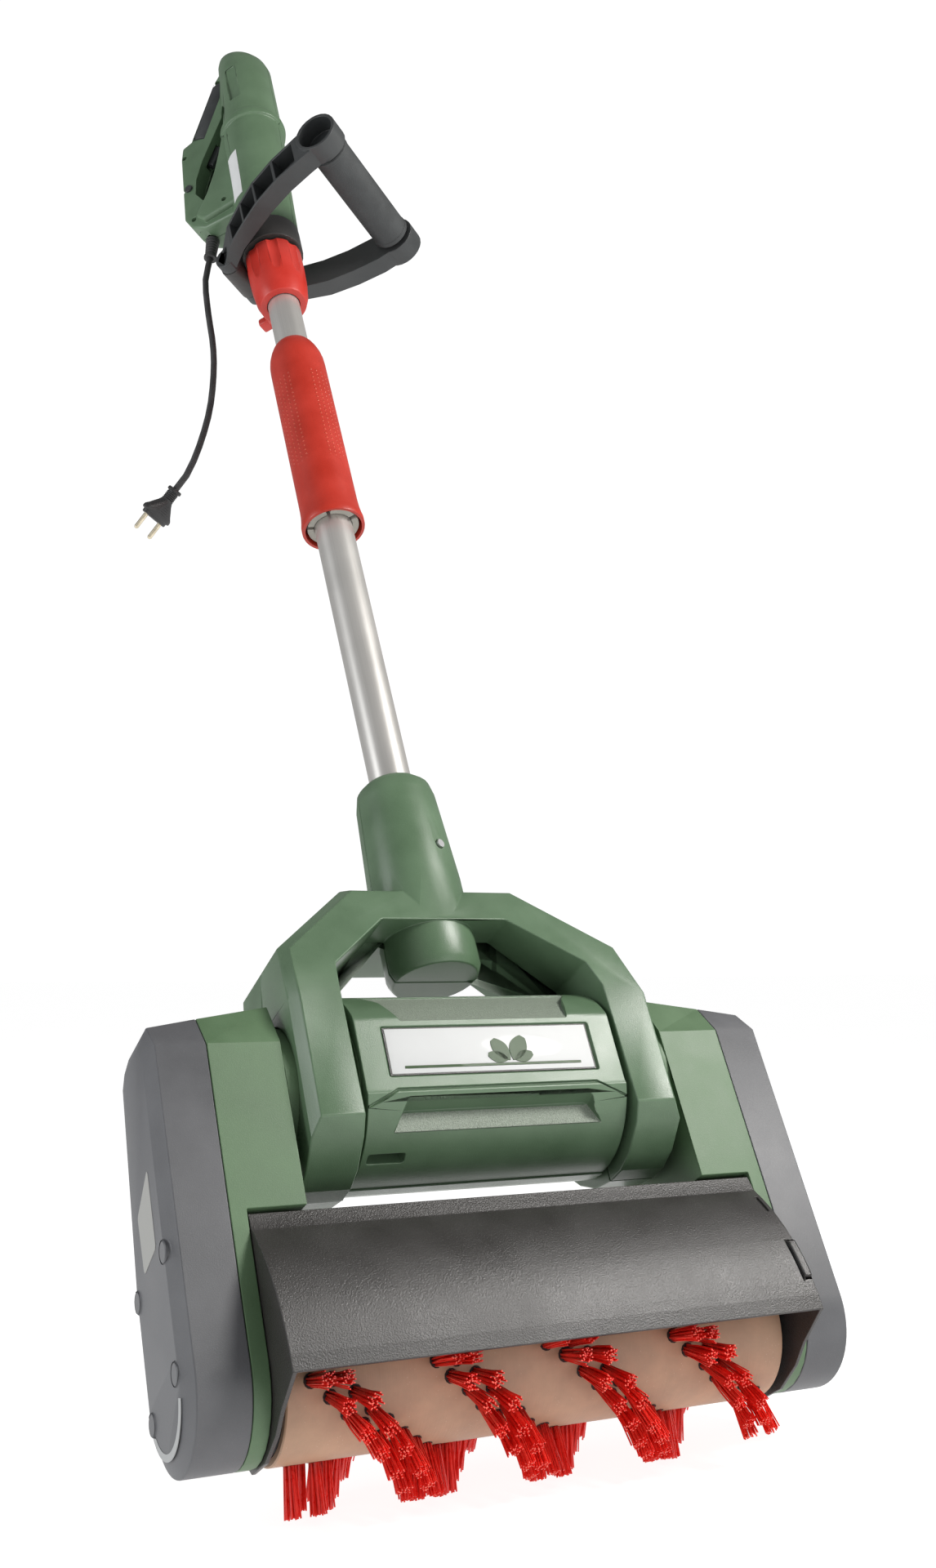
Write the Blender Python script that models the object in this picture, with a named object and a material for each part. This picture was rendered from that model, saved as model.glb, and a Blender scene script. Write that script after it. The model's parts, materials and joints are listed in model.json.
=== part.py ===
"""Electric lawn brush on a telescopic pole: motor head, bristle roller, fork, tubes, handles and mains lead.

Lengths are in metres. The head is built with the pole upright and the motor axis on X, then the whole machine
leans back about the X axis until the roller stands on the floor with its weight on the bristle tips.
"""

from math import atan2, ceil, cos, hypot, pi, radians, sin, sqrt

import bmesh
import bpy
from mathutils import Matrix, Vector

# Stance
POLE_LEAN = radians(28.6)
GAP = 0.0003

# Roller
BRUSH_Z = -0.165
CORE_R = 0.0415
CORE_HALF = 0.158
TIP_R = 0.069
SPIRALS = 4
SPIRAL_PITCH = 0.300
SPIRAL_WIDTH = 0.024
SPIRAL_REACH = 0.150
SHAFT_R = 0.006

# Head
HOUSING_R = 0.043
HOUSING_Z = -0.163
PLATE_IN, PARTING, COVER_BEND, COVER_END = 0.166, 0.176, 0.206, 0.211
BLOCK_IN, BLOCK_FLOOR = 0.131, -0.081
WALL = 0.003
MOTOR_R, MOTOR_FRONT, MOTOR_HALF = 0.060, 0.054, 0.088
MOTOR_BORE = 0.050
NECK_R = 0.0425
SPIGOT_R, SPIGOT_IN = 0.0494, 0.076
ROTOR_SHAFT_R = 0.005
BEARING_R = 0.013
PULLEY_IN, PULLEY_OUT = 0.181, 0.192
MOTOR_PULLEY_R, BRUSH_PULLEY_R = 0.011, 0.034
BELT_T = 0.0022
SCREW_SPOTS = ((-0.030, -0.097), (0.030, -0.105), (-0.026, -0.160), (0.027, -0.172))

# Guard over the roller
GUARD_HALF = 0.1655
GUARD_CENTRE = (0.059, -0.178)
GUARD_R, GUARD_T = 0.1335, 0.0022
GUARD_LIP = (-0.0415, -0.0835)

# Fork and pole
HUB_R, HUB_BORE = 0.066, 0.0430
ARM_WALL = 0.0035
FORK_OUTER = ((0.119, None), (0.119, 0.040), (0.115, 0.081), (0.058, 0.133))
FORK_INNER = ((0.0915, None), (0.0915, 0.048), (0.0882, 0.068), (0.0446, 0.107))
FORK_FACE = ((0.040, -0.056), (0.081, -0.042), (0.133, -0.024))
CHAMFER = 0.005
BOSS_R, BOSS_LOW = 0.032, 0.078
TUBE_R, TUBE_T = 0.015, 0.0008
TUBE_LOW, TUBE_HIGH = 0.112, 0.655
UPPER_R, UPPER_T = 0.0138, 0.0008
UPPER_LOW, UPPER_HIGH = 0.400, 0.862
SLEEVE = ((0.0250, 0.476), (0.0250, 0.482), (0.0232, 0.500), (0.0230, 0.630), (0.0215, 0.652), (0.0185, 0.670),
          (0.0160, 0.680))
SLEEVE_BORE = 0.0157
NUT = ((0.0200, 0.734), (0.0228, 0.742), (0.0248, 0.770), (0.0250, 0.794))
NUT_FLUTES = 10
RING = ((0.0272, 0.7965), (0.0275, 0.822))

# Handle, turned about the pole from the head
HANDLE_TURN = radians(39)
# Handle body: offset from the pole's axis, height, radius, and how much the section slopes up towards the grip
BODY = ((0.0, 0.8225, 0.0272, 0), (-0.003, 0.880, 0.0270, 0), (-0.0068, 0.955, 0.0284, 0), (-0.0070, 0.961, 0.0304, 0),
        (-0.0072, 0.966, 0.0304, 0), (-0.0075, 0.972, 0.0280, 0), (-0.0105, 1.020, 0.0262, 0),
        (-0.0125, 1.046, 0.0248, 0.10), (-0.0122, 1.059, 0.0232, 0.30), (-0.0115, 1.068, 0.0190, 0.42),
        (-0.0110, 1.071, 0.0120, 0.46))
LOOP = ((-0.004, 1.056), (0.006, 1.055), (0.0155, 1.045), (0.0500, 0.9860), (0.0605, 0.9840), (0.0640, 0.9700),
        (0.0718, 0.8900), (0.0652, 0.8740), (0.0525, 0.8635), (0.020, 0.8600), (-0.004, 0.8600))
LEG = ((-0.004, 0.984), (0.006, 0.984), (0.014, 0.968), (0.023, 0.942), (0.031, 0.922), (0.043, 0.900),
       (0.058, 0.880), (0.050, 0.869), (-0.004, 0.869))
FINGER_GAP = ((0.0080, 1.001), (0.0260, 0.975), (0.0420, 0.952), (0.0520, 0.932), (0.0555, 0.914), (0.0490, 0.900),
              (0.0315, 0.9225), (0.0235, 0.9425), (0.0145, 0.9685), (0.0050, 0.990))
LOOP_HALF, LEG_HALF = 0.0150, 0.0200
GRIP_AXIS = ((0.0070, 1.0420), (0.0415, 0.9835))
GRIP_R = 0.0162
PIVOT = (0.0325, 0.797)
EYE_R = 0.0105
BOSS_END = 0.0270
ARM_PATH = ((0.0215, 0.0325, 0.797), (0.0360, 0.0150, 0.800), (0.0450, -0.005, 0.803), (0.0540, -0.025, 0.804),
            (0.0610, -0.050, 0.806), (0.0650, -0.075, 0.808), (0.0665, -0.097, 0.812))
ARM_HALF = (0.0052, 0.0068, 0.0078, 0.0085, 0.0088, 0.0088, 0.0088)
ARM_TALL = (0.0095, 0.0120, 0.0135, 0.0140, 0.0140, 0.0145, 0.0155)
BAR = (-0.095, 0.812)
BAR_R, BAR_HALF = 0.0165, 0.0545

# Where the motor axis stands, so that the origin lies under the middle of the machine, without its lead
STAND_BACK, STAND_HEIGHT = -0.18628, 0.213866

# Mains lead
CORD_R = 0.0028
RELIEF_TOP, RELIEF_END = (0.0535, 0.8665), (0.0610, 0.8420)
CORD_ROUTE = [(0, 0.0700, 0.8180), (0, 0.0732, 0.7770), (0, 0.0745, 0.7368), (0, 0.0793, 0.7034), (0, 0.0895, 0.6662),
              (0, 0.1058, 0.6329), (0, 0.1215, 0.6115), (0, 0.1345, 0.6025)]


def clear_scene():
    for obj in list(bpy.data.objects):
        bpy.data.objects.remove(obj, do_unlink=True)


def material(name, colour, roughness, metallic=0.0):
    """A plain finish: colour, roughness and metallic value."""
    finish = bpy.data.materials.new(name)
    finish.use_nodes = True
    shader = finish.node_tree.nodes["Principled BSDF"]
    shader.inputs["Base Color"].default_value = (*colour, 1)
    shader.inputs["Roughness"].default_value = roughness
    shader.inputs["Metallic"].default_value = metallic
    return finish


def empty(name, parent=None, matrix=None):
    obj = bpy.data.objects.new(name, None)
    bpy.context.collection.objects.link(obj)
    obj.parent = parent
    if matrix is not None:
        obj.matrix_local = matrix
    return obj


def put(name, bm, finish, parent, smooth=True):
    """Makes an object of a bmesh, with its faces pointing out."""
    bmesh.ops.remove_doubles(bm, verts=bm.verts, dist=1e-6)
    bmesh.ops.recalc_face_normals(bm, faces=bm.faces)
    mesh = bpy.data.meshes.new(name)
    bm.to_mesh(mesh)
    bm.free()
    if smooth:
        mesh.shade_smooth()
        mesh.set_sharp_from_angle(angle=radians(35))
    obj = bpy.data.objects.new(name, mesh)
    bpy.context.collection.objects.link(obj)
    obj.parent = parent
    if finish:
        mesh.materials.append(finish)
    else:
        obj.hide_render = True
        obj.display_type = "WIRE"
    return obj


def combine(obj, *steps):
    """Adds one exact Boolean for each (operation, other object)."""
    for operation, other in steps:
        modifier = obj.modifiers.new(f"{operation.lower()} {other.name}", "BOOLEAN")
        modifier.operation = operation
        modifier.object = other
        modifier.solver = "EXACT"
    return obj


def loft(sections):
    """A closed solid through sections of equal point counts, capped at both ends."""
    bm = bmesh.new()
    rings = [[bm.verts.new(point) for point in section] for section in sections]
    for low, high in zip(rings, rings[1:]):
        for i in range(len(low)):
            j = (i + 1) % len(low)
            bm.faces.new((low[i], low[j], high[j], high[i]))
    bm.faces.new(rings[0])
    bm.faces.new(rings[-1])
    return bm


def along_x(outline, x0, x1):
    """Extrudes a (y, z) outline along X."""
    return loft([[(x, y, z) for y, z in outline] for x in (x0, x1)])


def turned(profile, steps=24, closed=False, axis="Z"):
    """A (radius, height) profile turned about an axis; an open profile is capped at both ends."""
    bm = bmesh.new()
    rings = []
    for radius, height in profile:
        circle = [(radius * cos(2 * pi * i / steps), radius * sin(2 * pi * i / steps)) for i in range(steps)]
        rings.append([bm.verts.new((height, u, v) if axis == "X" else (u, v, height)) for u, v in circle])
    pairs = list(zip(rings, rings[1:]))
    if closed:
        pairs.append((rings[-1], rings[0]))
    else:
        bm.faces.new(rings[0])
        bm.faces.new(rings[-1])
    for low, high in pairs:
        for i in range(steps):
            j = (i + 1) % steps
            bm.faces.new((low[i], low[j], high[j], high[i]))
    return bm


def ring(r_out, r_in, low, high, steps=24, axis="Z"):
    return turned([(r_out, low), (r_out, high), (r_in, high), (r_in, low)], steps, True, axis)


def disc(radius, low, high, steps=24, axis="Z"):
    return turned([(radius, low), (radius, high)], steps, False, axis)


def box(low, high):
    bm = bmesh.new()
    bmesh.ops.create_cube(bm, size=1)
    size = Vector(high) - Vector(low)
    middle = (Vector(high) + Vector(low)) / 2
    bm.transform(Matrix.Translation(middle) @ Matrix.Diagonal((*size, 1)))
    return bm


def moved(bm, offset):
    bmesh.ops.translate(bm, verts=bm.verts, vec=offset)
    return bm


def arc(centre, radius, start, end, count):
    """Points on a circle in a plane, from one angle to another in degrees."""
    span = [radians(start + (end - start) * i / count) for i in range(count + 1)]
    return [(centre[0] + radius * cos(a), centre[1] + radius * sin(a)) for a in span]


def inset(outline, amount):
    """Moves each edge of a closed clockwise or anticlockwise outline inwards."""
    area = sum(p[0] * q[1] - q[0] * p[1] for p, q in zip(outline, outline[1:] + outline[:1]))
    side = 1 if area > 0 else -1
    result = []
    for i, point in enumerate(outline):
        before, after = Vector(outline[i - 1]), Vector(outline[(i + 1) % len(outline)])
        here = Vector(point)
        first, second = (here - before).normalized(), (after - here).normalized()
        bisector = (Vector((-first.y, first.x)) + Vector((-second.y, second.x))) * side
        result.append(tuple(here + bisector * (amount / max(0.2, bisector.length_squared / 2))))
    return result


def housing_outline(rise=0.0, shrink=0.0):
    """Side view of an end housing, in (y, z): chamfered top, straight front, round foot about the roller."""
    top = [(0.043, -0.100), (0.026, 0.022), (0.012, 0.040 + rise), (-0.030, 0.040 + rise), (-0.043, 0.018)]
    foot = arc((0, HOUSING_Z), HOUSING_R, 180, 360, 14)
    outline = top + foot
    return inset(outline, shrink) if shrink else outline


def side_housing(side, head, green):
    """Inner shell of one end: plate, block above the guard, and the neck that the fork hub turns on."""
    mark = "left" if side < 0 else "right"

    def x(value):
        return side * value

    def section(value, rise=0.0, shrink=0.0):
        return [(x(value), y, z) for y, z in housing_outline(rise, shrink)]

    def block(value, deep, shrink):
        back, rise = (0.046, 0.007) if deep else (0.026, 0.0)
        outline = [(back + 0.004 - shrink, BLOCK_FLOOR + shrink), (back - shrink, 0.022),
                   (back - 0.014 - shrink, 0.040 + rise - shrink), (-0.030 + shrink, 0.040 + rise - shrink),
                   (-0.043 + shrink, 0.018), (-0.043 + shrink, BLOCK_FLOOR + shrink)]
        return [(x(value), y, z) for y, z in outline]

    shell = put(f"side_housing_{mark}", loft([section(PLATE_IN), section(PARTING - GAP)]), green, head)
    body = put(f"block_{mark}", loft([block(BLOCK_IN, True, 0), block(PARTING - GAP, False, 0)]), None, head)
    profile = [(SPIGOT_R, SPIGOT_IN), (SPIGOT_R, MOTOR_HALF), (NECK_R, MOTOR_HALF), (NECK_R, BLOCK_IN + 0.0015),
               (NECK_R - 0.004, BLOCK_IN + 0.0015), (NECK_R - 0.004, SPIGOT_IN + 0.009),
               (BEARING_R + GAP, SPIGOT_IN + 0.009), (BEARING_R + GAP, SPIGOT_IN)]
    neck = put(f"neck_{mark}", turned([(r, x(h)) for r, h in profile], 28, True, "X"), None, head)
    room = put(f"block_room_{mark}", loft([block(BLOCK_IN + WALL, True, WALL), block(PARTING + 0.01, False, WALL)]),
               None, head)
    hollow = put(f"plate_room_{mark}", loft([section(PLATE_IN + WALL, 0, WALL), section(PARTING + 0.01, 0, WALL)]),
                 None, head)
    bore = put(f"neck_bore_{mark}", disc(NECK_R - 0.005, x(BLOCK_IN - 0.01), x(BLOCK_IN + 0.01), 28, "X"), None, head)
    hole = put(f"brush_seat_{mark}", moved(disc(SHAFT_R + 0.002, x(PLATE_IN - 0.01), x(PLATE_IN + 0.01), 20, "X"),
                                           (0, 0, BRUSH_Z)), None, head)
    combine(shell, ("UNION", body), ("DIFFERENCE", room), ("DIFFERENCE", hollow), ("DIFFERENCE", bore), ("UNION", neck),
            ("DIFFERENCE", hole))


def end_cover(side, head, grey):
    """Outer cap of one end, with bevelled edges; the driven end has four screw bosses."""
    mark = "left" if side < 0 else "right"

    def section(value, rise, shrink):
        return [(side * value, y, z) for y, z in housing_outline(rise, shrink)]

    cover = put(f"end_cover_{mark}",
                loft([section(PARTING, 0, 0), section(COVER_BEND, -0.005, 0), section(COVER_END, -0.005, 0.012)]),
                grey, head)
    room = put(f"cover_room_{mark}",
               loft([section(PARTING - 0.01, 0, WALL), section(COVER_BEND - 0.001, -0.005, WALL),
                     section(COVER_END - WALL, -0.005, 0.013)]), None, head)
    combine(cover, ("DIFFERENCE", room))
    return cover


def cover_screws(cover, head, grey, steel):
    """Round bosses on the left cover, each with a sunk screw."""
    top = COVER_END - 0.0002
    for number, (y, z) in enumerate(SCREW_SPOTS, 1):
        place = (0, y, z)
        boss = put(f"boss_{number}", moved(disc(0.0062, -(COVER_BEND - 0.0065), -top, 16, "X"), place), None, head)
        pocket = put(f"pocket_{number}", moved(disc(0.0042, -(COVER_BEND - 0.002), -(top + 0.01), 16, "X"), place),
                     None, head)
        combine(cover, ("UNION", boss), ("DIFFERENCE", pocket))
        put(f"cover_screw_{number}", moved(disc(0.0036, -(COVER_BEND - 0.002 + GAP), -(COVER_END - 0.001), 12, "X"),
                                           place), steel, head)


def motor_outline():
    """Front half of the motor housing in (y, z): round with a flat face where the label sits."""
    top = arc((0, 0), MOTOR_R, 90, 148, 8)
    low = arc((0, 0), MOTOR_R - 0.001, 222, 270, 7)
    face = [(-MOTOR_FRONT, 0.024), (-MOTOR_FRONT, -0.019)]
    bore = arc((0, 0), MOTOR_BORE, 270, 90, 16)
    return top + face + low + bore


def trapezoid_cut(name, head, half_top, half_low, front, rows):
    """A recess cutter that is wider at one end: rows are (z, y floor) from the top to the bottom."""
    sections = []
    for share, (z, floor) in zip((0, 0.5, 1), rows):
        half = half_top + (half_low - half_top) * share
        sections.append([(-half, front, z), (half, front, z), (half, floor, z), (-half, floor, z)])
    return put(name, loft(sections), None, head)


def motor_housing(head, green, label):
    front = put("motor_shell_front", moved(along_x(motor_outline(), -MOTOR_HALF, MOTOR_HALF), (0, -GAP / 2, 0)),
                green, head)
    window = trapezoid_cut("label_recess", head, 0.0720, 0.0722, -0.08,
                           ((0.0215, -0.0525), (0.0050, -0.0525), (-0.0120, -0.0525)))
    lower = trapezoid_cut("grip_recess", head, 0.062, 0.070, -0.08,
                          ((-0.0215, -0.0530), (-0.0310, -0.0510), (-0.0420, -0.0515)))
    upper = trapezoid_cut("top_recess", head, 0.066, 0.058, -0.07,
                          ((0.0560, -0.0180), (0.0470, -0.0300), (0.0400, -0.0410)))
    slot = put("cable_slot", box((-0.084, -0.070, -0.048), (-0.060, -0.045, -0.037)), None, head)
    combine(front, ("DIFFERENCE", window), ("DIFFERENCE", lower), ("DIFFERENCE", upper), ("DIFFERENCE", slot))
    back = arc((0, 0), MOTOR_R, 90, -90, 18) + arc((0, 0), MOTOR_R - 0.0035, -90, 90, 18)
    put("motor_shell_rear", moved(along_x(back, -MOTOR_HALF, MOTOR_HALF), (0, GAP / 2, 0)), green, head)
    put("label_plate", box((-0.0690, -0.0532, -0.0100), (0.0690, -0.0528 + GAP / 3, 0.0195)), label, head)


def motor_inside(head, rotor, steel, laminations, copper, plastic):
    """Stator, armature, shaft, fan and the two rotor bearings."""
    put("motor_stator", ring(MOTOR_BORE - GAP, 0.0265, -0.035, 0.035, 24, "X"), laminations, head)
    for side, mark in ((-1, "left"), (1, "right")):
        put(f"rotor_bearing_{mark}", ring(BEARING_R, ROTOR_SHAFT_R + GAP, side * (SPIGOT_IN + 0.0005),
                                          side * (SPIGOT_IN + 0.0075), 24, "X"), steel, head)
    put("rotor_shaft", disc(ROTOR_SHAFT_R, -0.196, 0.086, 20, "X"), steel, rotor)
    put("armature", ring(0.0255, ROTOR_SHAFT_R + GAP, -0.034, 0.034, 20, "X"), copper, rotor)
    fan = put("cooling_fan", ring(0.0400, ROTOR_SHAFT_R + GAP, 0.046, 0.049, 20, "X"), plastic, rotor)
    for number in range(8):
        blade = box((0.047, 0.014, -0.0008), (0.060, 0.039, 0.0008))
        bmesh.ops.rotate(blade, verts=blade.verts, cent=(0, 0, 0), matrix=Matrix.Rotation(2 * pi * number / 8, 3, "X"))
        combine(fan, ("UNION", put(f"fan_blade_{number}", blade, None, rotor)))


def belt_outline(extra):
    """Outline of the belt round both pulleys, in (y, z), grown outwards by extra."""
    small, large = MOTOR_PULLEY_R + extra, BRUSH_PULLEY_R + extra
    tilt = (large - small) / -BRUSH_Z
    lean = atan2(tilt, sqrt(1 - tilt * tilt)) * 180 / pi
    return arc((0, 0), small, lean, 180 - lean, 10) + arc((0, BRUSH_Z), large, 180 - lean, 360 + lean, 22)


def belt_drive(head, rotor, brush, rubber, steel):
    """Toothed belt and its two flanged pulleys, inside the left cover."""
    def pulley(name, radius, bore, owner):
        rim = radius + 0.003
        flank = 0.0012
        profile = [(rim, -PULLEY_OUT), (rim, -PULLEY_OUT + flank), (radius, -PULLEY_OUT + flank),
                   (radius, -PULLEY_IN - flank), (rim, -PULLEY_IN - flank), (rim, -PULLEY_IN), (bore, -PULLEY_IN),
                   (bore, -PULLEY_OUT)]
        put(name, turned(profile, 24, True, "X"), steel, owner)

    pulley("motor_pulley", MOTOR_PULLEY_R, ROTOR_SHAFT_R + GAP, rotor)
    pulley("brush_pulley", BRUSH_PULLEY_R, SHAFT_R + GAP, brush)
    outer, inner = belt_outline(GAP + BELT_T), belt_outline(GAP)
    belt = put("drive_belt", along_x(outer, -PULLEY_OUT + 0.0016, -PULLEY_IN - 0.0016), rubber, head)
    hollow = put("belt_room", along_x(inner, -PULLEY_OUT, -PULLEY_IN), None, head)
    combine(belt, ("DIFFERENCE", hollow))


def roller(head, brush, tan, steel, plastic, red):
    """Hollow core on a steel shaft, its two hubs, bearings, and the bristle spirals."""
    put("brush_core", ring(CORE_R, CORE_R - 0.004, -CORE_HALF, CORE_HALF, 32, "X"), tan, brush)
    put("brush_shaft", disc(SHAFT_R, -0.196, 0.1755, 20, "X"), steel, brush)
    for side, mark in ((-1, "left"), (1, "right")):
        put(f"brush_hub_{mark}", ring(CORE_R - 0.004 - GAP, SHAFT_R + GAP, side * (CORE_HALF - 0.010),
                                      side * CORE_HALF, 24, "X"), plastic, brush)
        put(f"brush_bearing_{mark}", moved(ring(0.0130, SHAFT_R + GAP, side * (PLATE_IN + WALL + GAP),
                                                side * (PARTING - 0.001), 24, "X"), (0, 0, BRUSH_Z)), steel, head)
    for number in range(SPIRALS):
        put(f"bristle_spiral_{number + 1}", bristle_spiral(number / SPIRALS), red, brush)


def bristle_spiral(start):
    """One double row of tufts as a helical band from the core out to the bristle tips."""
    steps = 28
    half = SPIRAL_WIDTH / 2
    low, high = CORE_R + GAP, TIP_R
    sections = []
    for i in range(steps + 1):
        middle = -SPIRAL_REACH + half + (2 * SPIRAL_REACH - SPIRAL_WIDTH) * i / steps
        turn = -2 * pi * (middle / SPIRAL_PITCH + start)
        out = Vector((0, -sin(turn), -cos(turn)))
        sections.append([Vector((middle + shift, 0, 0)) + out * radius
                         for shift, radius in ((-half, low), (half, low), (half, high), (-half, high))])
    return loft(sections)


def guard(head, black):
    """Curved guard over the front of the roller, with a lip and end walls that screw to the side plates."""
    centre_y, centre_z = GUARD_CENTRE
    start = 180 - 39.2
    outer = arc(GUARD_CENTRE, GUARD_R, start, 180, 10)
    inner = arc(GUARD_CENTRE, GUARD_R - GUARD_T, 180, start, 10)
    back = 0.020
    lip_y, lip_z = GUARD_LIP
    outline = [(back, lip_z), (lip_y, lip_z)] + outer + inner + [(lip_y + 0.0022, lip_z - GUARD_T), (back, lip_z - GUARD_T)]
    shell = put("brush_guard", along_x(outline, -GUARD_HALF, GUARD_HALF), black, head)
    wall = [(back, lip_z), (lip_y, lip_z)] + outer + [(-0.048, -0.190), (-0.034, -0.199), (-0.012, -0.207),
                                                      (0.012, -0.207), (0.020, -0.200)]
    for side in (-1, 1):
        plate = put(f"guard_end_{side}", along_x(wall, side * GUARD_HALF, side * (GUARD_HALF - 0.0025)), None, head)
        hole = put(f"guard_hole_{side}", moved(disc(0.012, side * (GUARD_HALF - 0.01), side * (GUARD_HALF + 0.01), 24,
                                                    "X"), (0, 0, BRUSH_Z)), None, head)
        combine(shell, ("UNION", plate), ("DIFFERENCE", hole))


def face_y(z):
    """Depth of the fork's front face at a height: flat along the arms, leaning back above them."""
    low, middle, high = FORK_FACE
    if z <= low[0]:
        return low[1]
    first, second = (low, middle) if z < middle[0] else (middle, high)
    share = (z - first[0]) / (second[0] - first[0])
    return first[1] + (second[1] - first[1]) * share


def fork_body(layers, wall=0.0):
    """A U-shaped solid with arm ends round about the hub. Each layer gives its depth behind the face, the furthest
    forward it may lie, and how far its outer outline stands out."""
    bm = bmesh.new()
    rows = []
    for depth, foremost, grow in layers:
        def point(half, z, outwards):
            up = grow - wall if outwards else wall - min(grow, 0)
            y = max(foremost, face_y(-1 if z is None else z) + depth)
            if z is None:
                return half + up, y, -sqrt((HUB_R - wall) ** 2 - y * y)
            return half + up, y, z + up * 0.7

        outer = [point(half, z, True) for half, z in FORK_OUTER]
        inner = [point(half, z, False) for half, z in FORK_INNER]
        rows.append([[bm.verts.new((-w, y, z)) for w, y, z in line]
                     + [bm.verts.new(p) for p in reversed(line)] for line in (outer, inner)])
    for outer, inner in (rows[0], rows[-1]):
        for i in range(len(outer) - 1):
            bm.faces.new((outer[i], outer[i + 1], inner[i + 1], inner[i]))
    for (outer, inner), (next_outer, next_inner) in zip(rows, rows[1:]):
        for i in range(len(outer) - 1):
            bm.faces.new((outer[i], outer[i + 1], next_outer[i + 1], next_outer[i]))
            bm.faces.new((inner[i], inner[i + 1], next_inner[i + 1], next_inner[i]))
        for end in (0, -1):
            bm.faces.new((outer[end], inner[end], next_inner[end], next_outer[end]))
    return bm


def fork(base, green):
    """Front and rear shells of the fork with the pole socket, split on the pole's plane."""
    far = -1.0
    front_layers = [(0, far, 0), (0.008, far, CHAMFER), (0.012, -0.030, CHAMFER), (0.016, -0.015, CHAMFER),
                    (0.020, 0.004, CHAMFER)]
    rear_layers = [(0.0, -0.004, CHAMFER), (0.0, 0.020, CHAMFER), (0.0, 0.038, CHAMFER), (0.0, 0.049, 0.001),
                   (0.0, 0.056, -0.007)]
    room_layers = [(ARM_WALL, far, 0), (0.010, far, CHAMFER), (0.016, -0.015, CHAMFER), (0.030, 0.018, CHAMFER),
                   (0.034, 0.036, CHAMFER), (0.038, 0.046, 0.001), (0.042, 0.0525, -0.004)]
    socket = put("socket_turning", turned([
        (BOSS_R - 0.003, BOSS_LOW), (BOSS_R, BOSS_LOW + 0.006), (BOSS_R, 0.150), (0.0284, 0.216), (0.0262, 0.226),
        (0.0200, 0.232)], 28), None, base)
    socket_bore = put("socket_bore", disc(TUBE_R + GAP, TUBE_LOW - GAP, 0.25), None, base)
    room = put("fork_room", fork_body(room_layers, ARM_WALL), None, base)
    hub_keep = put("hub_keep", disc(HUB_BORE + ARM_WALL, -0.15, 0.15, 28, "X"), None, base)
    boss_keep = put("boss_keep", disc(BOSS_R - 0.001, 0.05, 0.20, 28), None, base)
    combine(room, ("DIFFERENCE", hub_keep), ("DIFFERENCE", boss_keep))
    bore = put("hub_bore", disc(HUB_BORE, -0.15, 0.15, 32, "X"), None, base)
    screw_seat = put("screw_seat", side_disc(0.0030 + GAP, 0.0279, 0.05, 0.168), None, base)
    halves = {"front": (front_layers, box((-0.2, -GAP / 2, -0.1), (0.2, 0.2, 0.3))),
              "rear": (rear_layers, box((-0.2, -0.2, -0.1), (0.2, GAP / 2, 0.3)))}
    for name, (layers, away) in halves.items():
        shell = put(f"fork_{name}", fork_body(layers), green, base)
        half = put(f"fork_half_{name}", away, None, base)
        combine(shell, ("DIFFERENCE", room), ("UNION", socket), ("DIFFERENCE", half), ("DIFFERENCE", bore),
                ("DIFFERENCE", socket_bore))
        if name == "front":
            combine(shell, ("DIFFERENCE", screw_seat))


def side_disc(radius, near, far, height):
    """A short round bar that points out of the socket's front, a little to its right."""
    bm = disc(radius, near, far, 12, "X")
    bmesh.ops.rotate(bm, verts=bm.verts, cent=(0, 0, 0), matrix=Matrix.Rotation(radians(-68), 3, "Z"))
    return moved(bm, (0, 0, height))


def pole(base, lock, upper, tube, grey, red, steel):
    """Lower tube and collet in the fork, the twist lock, and the upper tube that slides in the lower one."""
    put("lower_tube", ring(TUBE_R, TUBE_R - TUBE_T, TUBE_LOW, TUBE_HIGH, 24), tube, base)
    collet = [(0.0205, 0.4785), (0.0210, 0.4830), (0.0190, 0.4960), (TUBE_R + GAP, 0.4960), (TUBE_R + GAP, 0.4785)]
    put("tube_collet", turned(collet, 24, True), grey, base)
    put("socket_screw", side_disc(0.0030, 0.0282, 0.0322, 0.168), steel, base)
    bore = [(SLEEVE_BORE, SLEEVE[-1][1]), (SLEEVE_BORE, 0.497), (0.0215, 0.4965), (0.0225, SLEEVE[0][1])]
    put("lock_sleeve", turned(list(SLEEVE) + bore, 28, True), red, lock)
    put("upper_tube", ring(UPPER_R, UPPER_R - UPPER_T, UPPER_LOW, UPPER_HIGH, 24), tube, upper)


def collar_nut(collar, red):
    """Fluted clamping nut under the handle; its flutes are shallow scoops."""
    profile = list(NUT) + [(UPPER_R + 0.0006, NUT[-1][1]), (UPPER_R + 0.0006, NUT[0][1])]
    nut = put("collar_nut", turned(profile, 30, True), red, collar)
    for number in range(NUT_FLUTES):
        scoop = loft([[(0.0243, -0.004, 0.752), (0.0300, -0.004, 0.752), (0.0300, 0.004, 0.752), (0.0243, 0.004, 0.752)],
                      [(0.0236, -0.004, 0.7965), (0.0300, -0.004, 0.7965), (0.0300, 0.004, 0.7965),
                       (0.0236, 0.004, 0.7965)]])
        bmesh.ops.rotate(scoop, verts=scoop.verts, cent=(0, 0, 0),
                         matrix=Matrix.Rotation(2 * pi * (number + 0.5) / NUT_FLUTES, 3, "Z"))
        combine(nut, ("DIFFERENCE", put(f"nut_scoop_{number}", scoop, None, collar)))


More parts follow.
